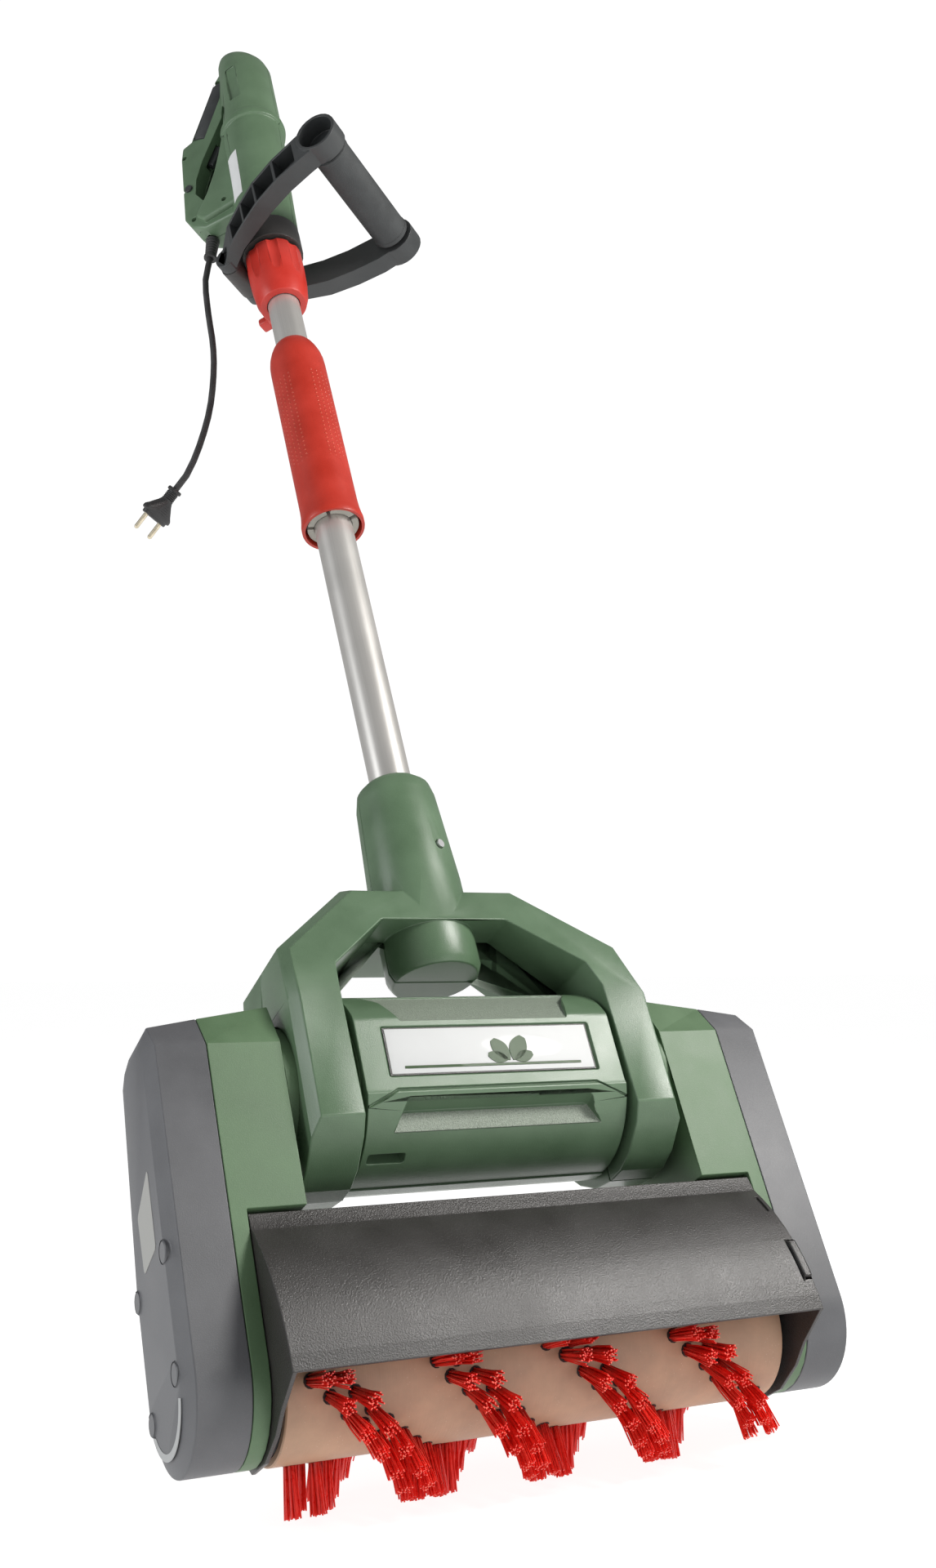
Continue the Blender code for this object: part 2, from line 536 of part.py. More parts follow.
def clamp_ring(handle, black):
    """Ring at the foot of the handle, with the lug behind it that carries the front handle's bolt."""
    (low_r, low), (high_r, high) = RING
    bore = UPPER_R + GAP
    clamp = put("clamp_ring", turned([(low_r, low), (high_r, high), (bore, high), (bore, low)], 28, True), black, handle)
    y, z = PIVOT
    lug = put("clamp_lug", moved(disc(EYE_R, -0.0163, 0.0163, 20, "X"), (0, y + 0.001, z)), None, handle)
    web = put("clamp_web", box((-0.0150, 0.012, low + 0.001), (0.0150, y + 0.008, high - 0.003)), None, handle)
    nut_room = put("nut_room", disc(NUT[-1][0] + 0.0011, 0.73, low, 28), None, handle)
    tube_room = put("tube_room", disc(bore, low - 0.01, high + 0.01, 28), None, handle)
    hole = put("clamp_hole", moved(disc(0.0043, -0.05, 0.08, 16, "X"), (0, y, z)), None, handle)
    combine(clamp, ("UNION", web), ("UNION", lug), ("DIFFERENCE", nut_room), ("DIFFERENCE", tube_room),
            ("DIFFERENCE", hole))


def body_sections(grow=0.0, count=24):
    """Round sections of the handle body, each at its own offset, height, radius and slope."""
    sections = []
    for y, z, radius, slope in BODY:
        reach = radius + grow
        circle = [(reach * cos(2 * pi * i / count), reach * sin(2 * pi * i / count)) for i in range(count)]
        sections.append([(u, y + v, z + v * slope) for u, v in circle])
    return sections


def slab(outline, half, lead=0.004):
    """An outline in (y, z) given thickness along X, with its rims bevelled."""
    edge = inset(list(outline), lead)
    return loft([[(x, y, z) for y, z in line] for x, line in
                 ((-half, edge), (-half + lead, list(outline)), (half - lead, list(outline)), (half, edge))])


def grip_rod(radius, trim=0.0):
    """A rod on the rear grip's axis."""
    (y0, z0), (y1, z1) = GRIP_AXIS
    length = hypot(y1 - y0, z1 - z0)
    bm = turned([(radius - 0.004, -trim), (radius, 0.004 - trim), (radius, length - 0.004 + trim),
                 (radius - 0.004, length + trim)], 24)
    bm.transform(Matrix.Translation((0, y0, z0)) @ Matrix.Rotation(-atan2(y1 - y0, z1 - z0), 4, "X"))
    return bm


def rear_handle(handle, green, dark, grey):
    """Two handle shells with the closed loop, the soft grip, the switch block and the lead's gland."""
    solid = put("handle_loop", slab(LOOP, LOOP_HALF, 0.0025), None, handle)
    leg = put("handle_leg", slab(LEG, LEG_HALF, 0.003), None, handle)
    opening = put("finger_gap", loft([[(x, y, z) for y, z in FINGER_GAP] for x in (-0.03, 0.03)]), None, handle)
    gland = put("gland_housing", gland_turning(0.0125, 0.030), None, handle)
    core = [[(x * 1.0, y, z) for x, y, z in ring_points] for ring_points in body_sections(-WALL)]
    core[0] = [(x, y, z - 0.004) for x, y, z in core[0]]
    core[-1] = [(x, y, z - WALL) for x, y, z in core[-1]]
    inside = put("body_room", loft(core), None, handle)
    loop_room = put("loop_room", slab(inset(list(LOOP), WALL), LOOP_HALF - WALL, 0.001), None, handle)
    wall = put("gap_wall", loft([[(x, y, z) for y, z in inset(list(FINGER_GAP), -WALL)] for x in (-0.03, 0.03)]),
               None, handle)
    combine(loop_room, ("DIFFERENCE", wall))
    grip_room = put("grip_room", grip_rod(GRIP_R + GAP, GAP), None, handle)
    trigger_room = put("trigger_room", trigger_block(0.0006, 0.0075), None, handle)
    button_room = put("button_room", lock_button(0.0005, 0.0045), None, handle)
    for side, mark in ((-1, "left"), (1, "right")):
        shell = put(f"handle_shell_{mark}", loft(body_sections()), green, handle)
        low, high = sorted((-side * 0.05, side * GAP / 2))
        away = put(f"handle_half_{mark}", box((low, -0.1, 0.7), (high, 0.2, 1.2)), None, handle)
        combine(shell, ("UNION", solid), ("UNION", leg), ("UNION", gland), ("DIFFERENCE", inside), ("DIFFERENCE", loop_room),
                ("DIFFERENCE", opening), ("DIFFERENCE", grip_room), ("DIFFERENCE", trigger_room),
                ("DIFFERENCE", button_room), ("DIFFERENCE", away))
    grip = put("soft_grip", grip_rod(GRIP_R), dark, handle)
    combine(grip, ("DIFFERENCE", put("grip_clear", loft(body_sections(GAP)), None, handle)),
            ("DIFFERENCE", button_room))
    put("switch_block", box((-0.0085, 0.0300, 0.8700), (0.0085, 0.0480, 0.8900)), grey, handle)


def gland_turning(radius, length):
    """Round housing in which the lead is clamped, on the lead's exit direction."""
    (y0, z0), (y1, z1) = RELIEF_TOP, RELIEF_END
    bm = turned([(radius - 0.002, 0), (radius, 0.002), (radius, length)], 20)
    bm.transform(Matrix.Translation((0, y0, z0)) @ Matrix.Rotation(-atan2(y0 - y1, z0 - z1), 4, "X"))
    return bm


def trigger_block(grow=0.0, travel=0.0):
    """Finger lever inside the loop, on the grip's inner side; travel draws its back out towards the grip."""
    back = [(0.0297, 0.9724), (0.0417, 0.9551)]
    front = [(0.0370, 0.9505), (0.0300, 0.9580), (0.0244, 0.9686)]
    back = [(y + 0.821 * travel, z + 0.571 * travel) for y, z in back]
    outline = back + front
    return slab(inset(outline, -grow) if grow else outline, 0.0070 + grow, 0.0012)


def lock_button(grow=0.0, travel=0.0):
    """Lock-off button on the loop's near side, below the grip."""
    return moved(disc(0.0038 + grow, -0.0170 - grow, -0.0110 + travel, 16, "X"), (0, 0.0612, 0.925))


def arm_stations():
    """Even stations down the arm: place, half thickness, half height, and the outward direction in plan."""
    stations = []
    for i, (x, y, z) in enumerate(ARM_PATH):
        before, after = Vector(ARM_PATH[max(i - 1, 0)]), Vector(ARM_PATH[min(i + 1, len(ARM_PATH) - 1)])
        way = (after - before).normalized()
        stations.append((Vector((x, y, z)), ARM_HALF[i], ARM_TALL[i], Vector((-way.y, way.x, 0)).normalized()))
    return stations


def at_station(stations, place):
    """The station at a fractional index."""
    i = min(int(place), len(stations) - 2)
    share = place - i
    return [a * (1 - share) + b * share for a, b in zip(stations[i], stations[i + 1])]


def arm_pocket(stations, side, low, high):
    """One open pocket between two ribs on the arm's outer side."""
    sections = []
    for step in range(4):
        place, half, tall, out = at_station(stations, low + (high - low) * step / 3)
        tall -= 0.0026
        corners = [(-half + 0.0030, -tall), (half + 0.006, -tall), (half + 0.006, tall), (-half + 0.0030, tall)]
        sections.append([(side * (place.x + out.x * u), place.y + out.y * u, place.z + v) for u, v in corners])
    return loft(sections)


def front_handle(swing, knob, black, steel, red):
    """Two ribbed arms on the clamp bolt, the round bar between them, the bolt and its wing knob."""
    y, z = PIVOT
    stations = arm_stations()
    for side, mark in ((-1, "left"), (1, "right")):
        sections = [[(side * (place.x + out.x * u), place.y + out.y * u, place.z + v)
                     for u, v in ((-half, -tall), (half, -tall), (half, tall), (-half, tall))]
                    for place, half, tall, out in stations]
        arm = put(f"front_handle_arm_{mark}", loft(sections), black, swing)
        eye = put(f"arm_eye_{mark}", moved(disc(EYE_R, side * 0.0166, side * BOSS_END, 20, "X"), (0, y, z)), None,
                  swing)
        hole = put(f"arm_hole_{mark}", moved(disc(0.0043, side * 0.01, side * 0.06, 16, "X"), (0, y, z)), None, swing)
        tip = put(f"arm_tip_{mark}", moved(disc(BAR_R + 0.0022, side * 0.0570, side * 0.0760, 24, "X"), (0, *BAR)),
                  None, swing)
        cup = put(f"arm_cup_{mark}", moved(disc(BAR_R - 0.0006, side * 0.0600, side * 0.09, 24, "X"), (0, *BAR)),
                  None, swing)
        combine(arm, ("UNION", eye))
        for number, (low, high) in enumerate(((1.2, 2.0), (2.12, 2.95), (3.07, 3.9), (4.02, 4.85)), 1):
            combine(arm, ("DIFFERENCE", put(f"arm_pocket_{mark}_{number}", arm_pocket(stations, side, low, high), None,
                                            swing)))
        combine(arm, ("UNION", tip), ("DIFFERENCE", cup), ("DIFFERENCE", hole))
    put("front_handle_bar", moved(disc(BAR_R, -BAR_HALF, BAR_HALF, 24, "X"), (0, *BAR)), black, swing)
    seat = put("bolt_seat", moved(disc(0.0072, -0.05, -BOSS_END + 0.004, 6, "X"), (0, y, z)), None, swing)
    combine(bpy.data.objects["front_handle_arm_left"], ("DIFFERENCE", seat))
    put("clamp_bolt", moved(turned([(0.0057, -BOSS_END + 0.0012), (0.0057, -BOSS_END + 0.0037), (0.0040, -BOSS_END + 0.0037),
                                    (0.0040, 0.0560)], 18, False, "X"), (0, y, z)), steel, swing)
    wing = put("wing_knob", moved(turned([(0.0100, 0.0500), (0.0110, 0.0540), (0.0090, 0.0660), (0.0043, 0.0660),
                                          (0.0043, 0.0500)], 18, True, "X"), (0, y, z)), red, knob)
    blade = put("knob_blade", box((0.0520, y - 0.0190, z - 0.0042), (0.0645, y + 0.0190, z + 0.0042)), None, knob)
    core = put("knob_core", moved(disc(0.0043, 0.0400, 0.0640, 16, "X"), (0, y, z)), None, knob)
    combine(wing, ("UNION", blade), ("DIFFERENCE", core))


def smooth_points(points, spacing):
    """Points at even spacing on a Catmull-Rom curve through the route."""
    knots = [Vector(p) for p in points]
    knots = [knots[0] * 2 - knots[1], *knots, knots[-1] * 2 - knots[-2]]
    dense = []
    for a, b, c, d in zip(knots, knots[1:], knots[2:], knots[3:]):
        for i in range(24):
            t = i / 24
            dense.append(0.5 * (2 * b + (c - a) * t + (2 * a - 5 * b + 4 * c - d) * t * t
                                + (3 * b - a - 3 * c + d) * t ** 3))
    dense.append(knots[-2])
    total = sum((q - p).length for p, q in zip(dense, dense[1:]))
    count = ceil(total / spacing)
    result, walked, target = [dense[0]], 0.0, total / count
    for p, q in zip(dense, dense[1:]):
        step = (q - p).length
        while walked + step >= target * len(result) - 1e-9 and len(result) < count:
            result.append(p.lerp(q, (target * len(result) - walked) / step))
        walked += step
    return result + [dense[-1]]


def lead(handle, relief_grey, cord_black, plug_black, brass):
    """Strain relief, hanging lead and its two-pin plug. The route is given in the leaning machine's own axes."""
    (y0, z0), (y1, z1) = RELIEF_TOP, RELIEF_END
    length = hypot(y1 - y0, z1 - z0)
    lean = -atan2(y0 - y1, z0 - z1)
    axis = Matrix.Translation((0, y0, z0)) @ Matrix.Rotation(lean, 4, "X")
    relief = [(0.0066, -0.0045), (0.0062, -0.0060), (0.0050, -length + 0.003), (0.0058, -length + 0.0026),
              (0.0058, -length), (CORD_R + GAP, -length), (CORD_R + GAP, -0.0045)]
    bm = turned(relief, 20, True)
    bm.transform(axis)
    put("strain_relief", bm, relief_grey, handle)
    route = [(0, y0 + (y1 - y0) * share, z0 + (z1 - z0) * share) for share in (0.22, 0.6, 1)] + CORD_ROUTE
    points = smooth_points(route, 0.0155)
    curve = bpy.data.curves.new("cord", "CURVE")
    curve.dimensions = "3D"
    curve.bevel_depth = CORD_R
    curve.bevel_resolution = 2
    curve.use_fill_caps = True
    spline = curve.splines.new("POLY")
    spline.points.add(len(points) - 1)
    for point, place in zip(spline.points, points):
        point.co = (*place, 1)
    cord = bpy.data.objects.new("cord", curve)
    bpy.context.collection.objects.link(cord)
    cord.parent = handle
    cord.data.materials.append(cord_black)
    end, direction = points[-1], (points[-1] - points[-2]).normalized()
    plug(handle, end + direction * GAP, direction, plug_black, brass)


def plug(handle, start, direction, black, brass):
    """Flat two-pin plug: ribbed neck, flared body with ears, and round pins."""
    side = Vector((1, 0, 0))
    flat = direction.cross(side).normalized()
    place = Matrix((side, flat, direction)).transposed().to_4x4()
    place.translation = start

    def oval(half_x, half_y, height):
        return [(half_x * cos(2 * pi * i / 20), half_y * sin(2 * pi * i / 20), height) for i in range(20)]

    neck = ((0.0056, 0.0056, 0.0), (0.0060, 0.0060, 0.0012), (0.0060, 0.0060, 0.0028), (0.0042, 0.0042, 0.0033),
            (0.0046, 0.0046, 0.0115), (0.0084, 0.0060, 0.0165), (0.0122, 0.0066, 0.0215), (0.0160, 0.0066, 0.0250),
            (0.0163, 0.0066, 0.0280), (0.0135, 0.0060, 0.0285), (0.0135, 0.0060, 0.0315))
    bm = loft([oval(*row) for row in neck])
    bm.transform(place)
    body = put("plug", bm, black, handle)
    for sign, mark in ((-1, "a"), (1, "b")):
        pin = moved(turned([(0.0020, 0.0285), (0.0020, 0.0455), (0.0010, 0.0470)], 12), (sign * 0.0090, 0, 0))
        pin.transform(place)
        bore = moved(disc(0.0020 + GAP, 0.0282, 0.06, 12), (sign * 0.0090, 0, 0))
        bore.transform(place)
        put(f"plug_pin_{mark}", pin, brass, handle)
        combine(body, ("DIFFERENCE", put(f"pin_bore_{mark}", bore, None, handle)))


def main():
    clear_scene()
    green = material("machine_green", (0.10, 0.26, 0.12), 0.45)
    grey = material("cover_grey", (0.30, 0.31, 0.31), 0.50)
    black = material("guard_black", (0.020, 0.021, 0.022), 0.45)
    dark = material("soft_grip", (0.045, 0.046, 0.048), 0.70)
    red = material("control_red", (0.55, 0.02, 0.03), 0.40)
    tube = material("tube_paint", (0.02, 0.02, 0.022), 0.35, 0.4)
    light = material("collet_grey", (0.55, 0.55, 0.55), 0.50)
    bristle = material("bristle_red", (0.60, 0.04, 0.05), 0.50)
    tan = material("core_tan", (0.62, 0.50, 0.36), 0.60)
    label = material("label_white", (0.85, 0.86, 0.87), 0.20)
    steel = material("steel", (0.55, 0.55, 0.56), 0.35, 1.0)
    copper = material("windings", (0.55, 0.28, 0.14), 0.40, 1.0)
    rubber = material("belt_rubber", (0.02, 0.02, 0.02), 0.80)
    cable = material("cable_grey", (0.05, 0.05, 0.052), 0.55)
    brass = material("pin_brass", (0.75, 0.62, 0.35), 0.30, 1.0)

    lean = Matrix.Translation((0, STAND_BACK, STAND_HEIGHT)) @ Matrix.Rotation(-POLE_LEAN, 4, "X")
    head = empty("head", None, lean)
    base = empty("fork_pivot", head)
    rotor = empty("rotor_axis", head)
    brush = empty("brush_axis", head, Matrix.Translation((0, 0, BRUSH_Z)))
    lock = empty("lock_axis", base)
    upper = empty("pole_slide", base)
    collar = empty("collar_axis", upper)
    handle = empty("handle_turn", upper, Matrix.Rotation(HANDLE_TURN, 4, "Z"))
    swing = empty("front_handle_axis", handle)
    knob = empty("knob_axis", swing)

    for side in (-1, 1):
        side_housing(side, head, green)
    cover_screws(end_cover(-1, head, grey), head, grey, steel)
    end_cover(1, head, grey)
    motor_housing(head, green, label)
    motor_inside(head, rotor, steel, steel, copper, dark)
    belt_drive(head, rotor, brush, rubber, steel)
    roller(head, brush, tan, steel, dark, bristle)
    guard(head, black)
    fork(base, green)
    pole(base, lock, upper, tube, light, red, steel)
    collar_nut(collar, red)
    clamp_ring(handle, black)
    rear_handle(handle, green, dark, grey)
    put("trigger", trigger_block(), red, handle)
    put("lock_button", lock_button(), dark, handle)
    front_handle(swing, knob, dark, steel, red)
    lead(handle, dark, cable, black, brass)


main()
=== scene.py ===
"""Looks of the electric lawn brush: each sub-assembly is a class that builds and dresses its own pieces.

Lengths are in metres. Head pieces are shaped with the pole upright and the motor axis on X, handle pieces in
the turned handle's own axes; a stance matrix then sets both on the leaning machine.
"""

import json
import logging
import random
from dataclasses import dataclass
from enum import Enum
from math import atan2, ceil, copysign, cos, hypot, pi, radians, sin, sqrt
from typing import Any, Iterable, Sequence

import bmesh
import bpy
from mathutils import Matrix, Vector

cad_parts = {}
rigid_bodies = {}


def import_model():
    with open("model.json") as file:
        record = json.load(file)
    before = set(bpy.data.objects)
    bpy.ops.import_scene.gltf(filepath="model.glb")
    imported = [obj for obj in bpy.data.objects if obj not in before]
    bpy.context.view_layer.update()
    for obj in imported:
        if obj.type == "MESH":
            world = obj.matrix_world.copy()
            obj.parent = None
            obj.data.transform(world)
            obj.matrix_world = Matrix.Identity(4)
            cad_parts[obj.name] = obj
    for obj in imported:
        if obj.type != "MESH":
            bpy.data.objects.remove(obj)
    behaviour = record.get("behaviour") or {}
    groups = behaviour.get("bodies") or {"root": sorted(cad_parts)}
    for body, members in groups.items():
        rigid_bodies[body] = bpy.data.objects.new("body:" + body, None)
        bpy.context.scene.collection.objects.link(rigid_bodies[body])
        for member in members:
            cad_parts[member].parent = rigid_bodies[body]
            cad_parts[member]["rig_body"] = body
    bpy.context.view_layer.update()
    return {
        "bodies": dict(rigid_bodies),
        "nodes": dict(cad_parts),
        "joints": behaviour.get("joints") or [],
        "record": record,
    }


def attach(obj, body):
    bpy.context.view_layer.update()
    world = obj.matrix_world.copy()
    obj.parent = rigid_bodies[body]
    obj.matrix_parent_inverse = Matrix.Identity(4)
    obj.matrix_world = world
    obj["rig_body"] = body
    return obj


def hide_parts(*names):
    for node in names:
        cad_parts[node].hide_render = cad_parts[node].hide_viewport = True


log = logging.getLogger("lawn_brush")

Colour = tuple[float, float, float]
Point = tuple[float, float, float]
Flat = tuple[float, float]

LEAN = Matrix.Translation((0, -0.18628, 0.213866)) @ Matrix.Rotation(-radians(28.6), 4, "X")
HANDLE = LEAN @ Matrix.Rotation(radians(39), 4, "Z")
BRUSH_Z = -0.165
CLEARANCE = 0.0003


def aimed(start: Flat, run: Flat) -> Matrix:
    """A matrix that stands Z along a (y, z) run from a start."""
    return Matrix.Translation((0, *start)) @ Matrix.Rotation(-atan2(*run), 4, "X")


def shaded(colour: Colour, factor: float, lift: float = 0.0) -> Colour:
    """A colour made darker or lighter, held below white."""
    return tuple(min(1.0, part * factor + lift) for part in colour)


# -------------------------------------------------------------------------------------------------- shader


class Term:
    """A node's output used in arithmetic: each operator adds one Math node to the recipe."""

    def __init__(self, recipe: "Recipe", socket: bpy.types.NodeSocket) -> None:
        """Wraps a socket of a recipe's node tree."""
        self.recipe = recipe
        self.socket = socket

    def math(self, operation: str, *others: "Term | float") -> "Term":
        """This term and others put through a Math node."""
        return self.recipe.node("ShaderNodeMath", {"operation": operation}, dict(enumerate([self, *others])))

    def __add__(self, other: "Term | float") -> "Term":
        """Sum."""
        return self.math("ADD", other)

    def __sub__(self, other: "Term | float") -> "Term":
        """Difference."""
        return self.math("SUBTRACT", other)

    def __mul__(self, other: "Term | float") -> "Term":
        """Product."""
        return self.math("MULTIPLY", other)

    def __truediv__(self, other: "Term | float") -> "Term":
        """Quotient."""
        return self.math("DIVIDE", other)

    def over(self, edge: "Term | float") -> "Term":
        """1 where this term is greater than the edge, else 0."""
        return self.math("GREATER_THAN", edge)

    def remapped(self, low: float, high: float, to_low: float = 0.0, to_high: float = 1.0) -> "Term":
        """This term from one range to another, held at the ends."""
        return self.recipe.node("ShaderNodeMapRange", {"clamp": True},
                                {"Value": self, "From Min": low, "From Max": high, "To Min": to_low,
                                 "To Max": to_high})


class Recipe:
    """A material's node tree in the making."""

    def __init__(self, name: str) -> None:
        """Starts a material with its Principled shader."""
        self.material = bpy.data.materials.new(name)
        self.material.use_nodes = True
        self.tree = self.material.node_tree
        self.shader = self.tree.nodes["Principled BSDF"]

    def node(self, kind: str, settings: dict[str, Any] | None = None, inputs: dict[Any, Any] | None = None,
             output: int | str = 0) -> Term:
        """Adds one node.

        Args:
            kind: The node's type.
            settings: Its properties, set first.
            inputs: Values or terms by socket name or number.
            output: The output to return.

        Returns:
            The output as a term.
        """
        made = self.tree.nodes.new(kind)
        for key, value in (settings or {}).items():
            setattr(made, key, value)
        for key, value in (inputs or {}).items():
            if isinstance(value, Term):
                self.tree.links.new(value.socket, made.inputs[key])
            else:
                made.inputs[key].default_value = value
        return Term(self, made.outputs[output])

    def here(self) -> Term:
        """The surface point in the machine's own axes."""
        return self.node("ShaderNodeTexCoord", output="Object")

    def noise(self, scale: float, detail: float = 2.0, rough: float = 0.5, at: Term | None = None) -> Term:
        """Noise with features of about 1 / scale metres."""
        return self.node("ShaderNodeTexNoise", None,
                         {"Vector": at or self.here(), "Scale": scale, "Detail": detail, "Roughness": rough})

    def cells(self, scale: float) -> Term:
        """Distance to the nearest of scattered points."""
        return self.node("ShaderNodeTexVoronoi", None, {"Vector": self.here(), "Scale": scale})

    def along(self, direction: Sequence[float], origin: Sequence[float] = (0, 0, 0)) -> Term:
        """How far the point lies from an origin along a direction."""
        offset = self.node("ShaderNodeVectorMath", {"operation": "SUBTRACT"},
                           {0: self.here(), 1: tuple(origin)})
        return self.node("ShaderNodeVectorMath", {"operation": "DOT_PRODUCT"},
                         {0: offset, 1: tuple(direction)}, output="Value")

    def stretched(self, matrix: Matrix, scale: Point) -> Term:
        """The point in a part's own axes, scaled along each, for a pattern drawn out along one.

        Args:
            matrix: From the part's axes to the machine's.
            scale: The factor along each axis.

        Returns:
            The point as a term.
        """
        inverse = matrix.inverted()
        return self.node("ShaderNodeMapping", {"vector_type": "POINT"}, {
            "Vector": self.node("ShaderNodeMapping", {"vector_type": "POINT"}, {
                "Vector": self.here(), "Location": tuple(inverse.to_translation()),
                "Rotation": tuple(inverse.to_euler())}),
            "Scale": scale})

    def blend(self, share: "Term | float", first: "Colour | Term", second: "Colour | Term") -> Term:
        """A colour between two others.

        Args:
            share: How much of the second it holds.
            first: The colour at no share.
            second: The colour at a full share.

        Returns:
            The colour as a term.
        """
        def socket_value(colour: "Colour | Term") -> Any:
            """A colour as a socket takes it."""
            return colour if isinstance(colour, Term) else (*colour, 1)

        return self.node("ShaderNodeMix", {"data_type": "RGBA"},
                         {0: share, 6: socket_value(first), 7: socket_value(second)}, output=2)

    def bumped(self, height: Term, distance: float) -> Term:
        """A normal from a height between 0 and 1."""
        return self.node("ShaderNodeBump", None, {"Height": height, "Distance": distance, "Strength": 1.0})

    def finish(self, **sockets: Any) -> bpy.types.Material:
        """Feeds the shader's sockets, whose names have _ for a space.

        Args:
            sockets: Values or terms by socket name.

        Returns:
            The finished material.
        """
        for key, value in sockets.items():
            socket = self.shader.inputs[key.replace("_", " ")]
            if isinstance(value, Term):
                self.tree.links.new(value.socket, socket)
            else:
                socket.default_value = (*value, 1) if isinstance(value, tuple) and len(value) == 3 else value
        return self.material


@dataclass(frozen=True)
class MouldedPlastic:
    """Injection-moulded plastic with a spark-eroded grain, glints painted as pale flecks on the grain, faint
    flow marks and rubbed spots.
    """

    name: str
    colour: Colour
    roughness: float = 0.46
    grain: float = 1500.0
    depth: float = 0.00010
    unevenness: float = 0.10
    scuffs: float = 0.25

    def build(self) -> bpy.types.Material:
        """Makes the material."""
        recipe = Recipe(self.name)
        pale = shaded(self.colour, 1 + self.unevenness, 0.012)
        deep = shaded(self.colour, 1 - self.unevenness)
        grain = recipe.noise(self.grain, 3.0, 0.6)
        flow = recipe.noise(26.0, 4.0, 0.55)
        rubbed = recipe.noise(140.0, 5.0, 0.7).remapped(0.60, 0.74)
        base = recipe.blend(flow.remapped(0.3, 0.7), deep, pale)
        # Pale flecks on the grain: painted glints, colour lighter where the grain would catch light.
        painted_glint_speckle = recipe.blend(grain.remapped(0.56, 0.78, 0, 0.35), base, shaded(self.colour, 1.5, 0.03))
        colour = recipe.blend(rubbed * self.scuffs * 0.35, painted_glint_speckle, shaded(self.colour, 1.25, 0.02))
        rough = flow.remapped(0.3, 0.7, self.roughness - 0.05, self.roughness + 0.06)
        return recipe.finish(Base_Color=colour, Roughness=rough - rubbed * 0.06 * self.scuffs,
                             Normal=recipe.bumped(grain, self.depth))


@dataclass(frozen=True)
class SparkTexture:
    """The coarse grip texture of recessed panels, with glints painted as pale flecks."""

    name: str
    colour: Colour
    grain: float = 1150.0
    depth: float = 0.00028

    def build(self) -> bpy.types.Material:
        """Makes the material."""
        recipe = Recipe(self.name)
        cells = recipe.cells(self.grain)
        fleck = recipe.noise(self.grain * 1.3, 2.0, 0.7)
        # Pale flecks in the colour are painted glints; the bump and roughness give the real texture.
        colour = recipe.blend(fleck.remapped(0.35, 0.7), shaded(self.colour, 0.80),
                              shaded(self.colour, 1.45, 0.02))
        return recipe.finish(Base_Color=colour, Roughness=fleck.remapped(0.3, 0.7, 0.40, 0.62),
                             Normal=recipe.bumped(cells + fleck * 0.5, self.depth))


@dataclass(frozen=True)
class SoftRubber:
    """Matt over-moulded rubber with a leathery skin."""

    name: str
    colour: Colour
    roughness: float = 0.62

    def build(self) -> bpy.types.Material:
        """Makes the material."""
        recipe = Recipe(self.name)
        skin = recipe.cells(900.0)
        dust = recipe.noise(60.0, 5.0, 0.6)
        colour = recipe.blend(dust.remapped(0.35, 0.75), shaded(self.colour, 0.85),
                              shaded(self.colour, 1.3, 0.006))
        return recipe.finish(Base_Color=colour,
                             Roughness=dust.remapped(0.3, 0.7, self.roughness - 0.08, self.roughness + 0.1),
                             Normal=recipe.bumped(skin, 0.00016))


@dataclass(frozen=True)
class DottedControl:
    """Orange-red control plastic with lengthwise rows of small raised dots, left bare along one side."""

    name: str
    colour: Colour
    dots: Colour = (0.80, 0.14, 0.07)
    rows: int = 30
    pitch: float = 0.0046
    middle: float = 0.585
    reach: float = 0.046
    bare_side: float = -2.02
    bare_half: float = 0.36

    def build(self) -> bpy.types.Material:
        """Makes the material."""
        recipe = Recipe(self.name)
        origin = LEAN.to_translation()
        side, back, up = (LEAN.to_3x3() @ Vector(axis) for axis in ((1, 0, 0), (0, 1, 0), (0, 0, 1)))
        angle = recipe.along(back, origin).math("ARCTAN2", recipe.along(side, origin))
        height = recipe.along(up, origin)
        across = ((angle * (self.rows / (2 * pi))).math("FRACT") - 0.5).math("ABSOLUTE")
        lengthwise = ((height / self.pitch).math("FRACT") - 0.5).math("ABSOLUTE")
        spread = (across * across * 1.2 + lengthwise * lengthwise).math("SQRT")
        band = (height - self.middle).math("ABSOLUTE").remapped(self.reach, self.reach + 0.004, 1, 0)
        zone = (angle - self.bare_side).math("ABSOLUTE").over(self.bare_half)
        dot = spread.remapped(0.10, 0.24, 1, 0) * band * zone
        flow = recipe.noise(38.0, 4.0, 0.55)
        fine = recipe.noise(1700.0, 2.0)
        base = recipe.blend(flow.remapped(0.3, 0.7), shaded(self.colour, 0.90),
                            shaded(self.colour, 1.08, 0.008))
        colour = recipe.blend(dot * 0.4, base, self.dots)
        return recipe.finish(Base_Color=colour, Roughness=flow.remapped(0.3, 0.7, 0.34, 0.44),
                             Normal=recipe.bumped(dot + fine * 0.18, 0.00045))


@dataclass(frozen=True)
class DrawnTube:
    """Satin anodised tube with fine draw lines along it."""

    name: str
    colour: Colour = (0.60, 0.585, 0.56)

    def build(self) -> bpy.types.Material:
        """Makes the material."""
        recipe = Recipe(self.name)
        lines = recipe.noise(1.0, 3.0, 0.6, recipe.stretched(LEAN, (1400, 1400, 7)))
        haze = recipe.noise(16.0, 3.0, 0.5)
        colour = recipe.blend(lines.remapped(0.3, 0.7), shaded(self.colour, 0.95),
                              shaded(self.colour, 1.03))
        return recipe.finish(Base_Color=colour, Roughness=haze.remapped(0.3, 0.7, 0.30, 0.42) + lines * 0.06,
                             Metallic=0.70, Normal=recipe.bumped(lines, 0.00001))


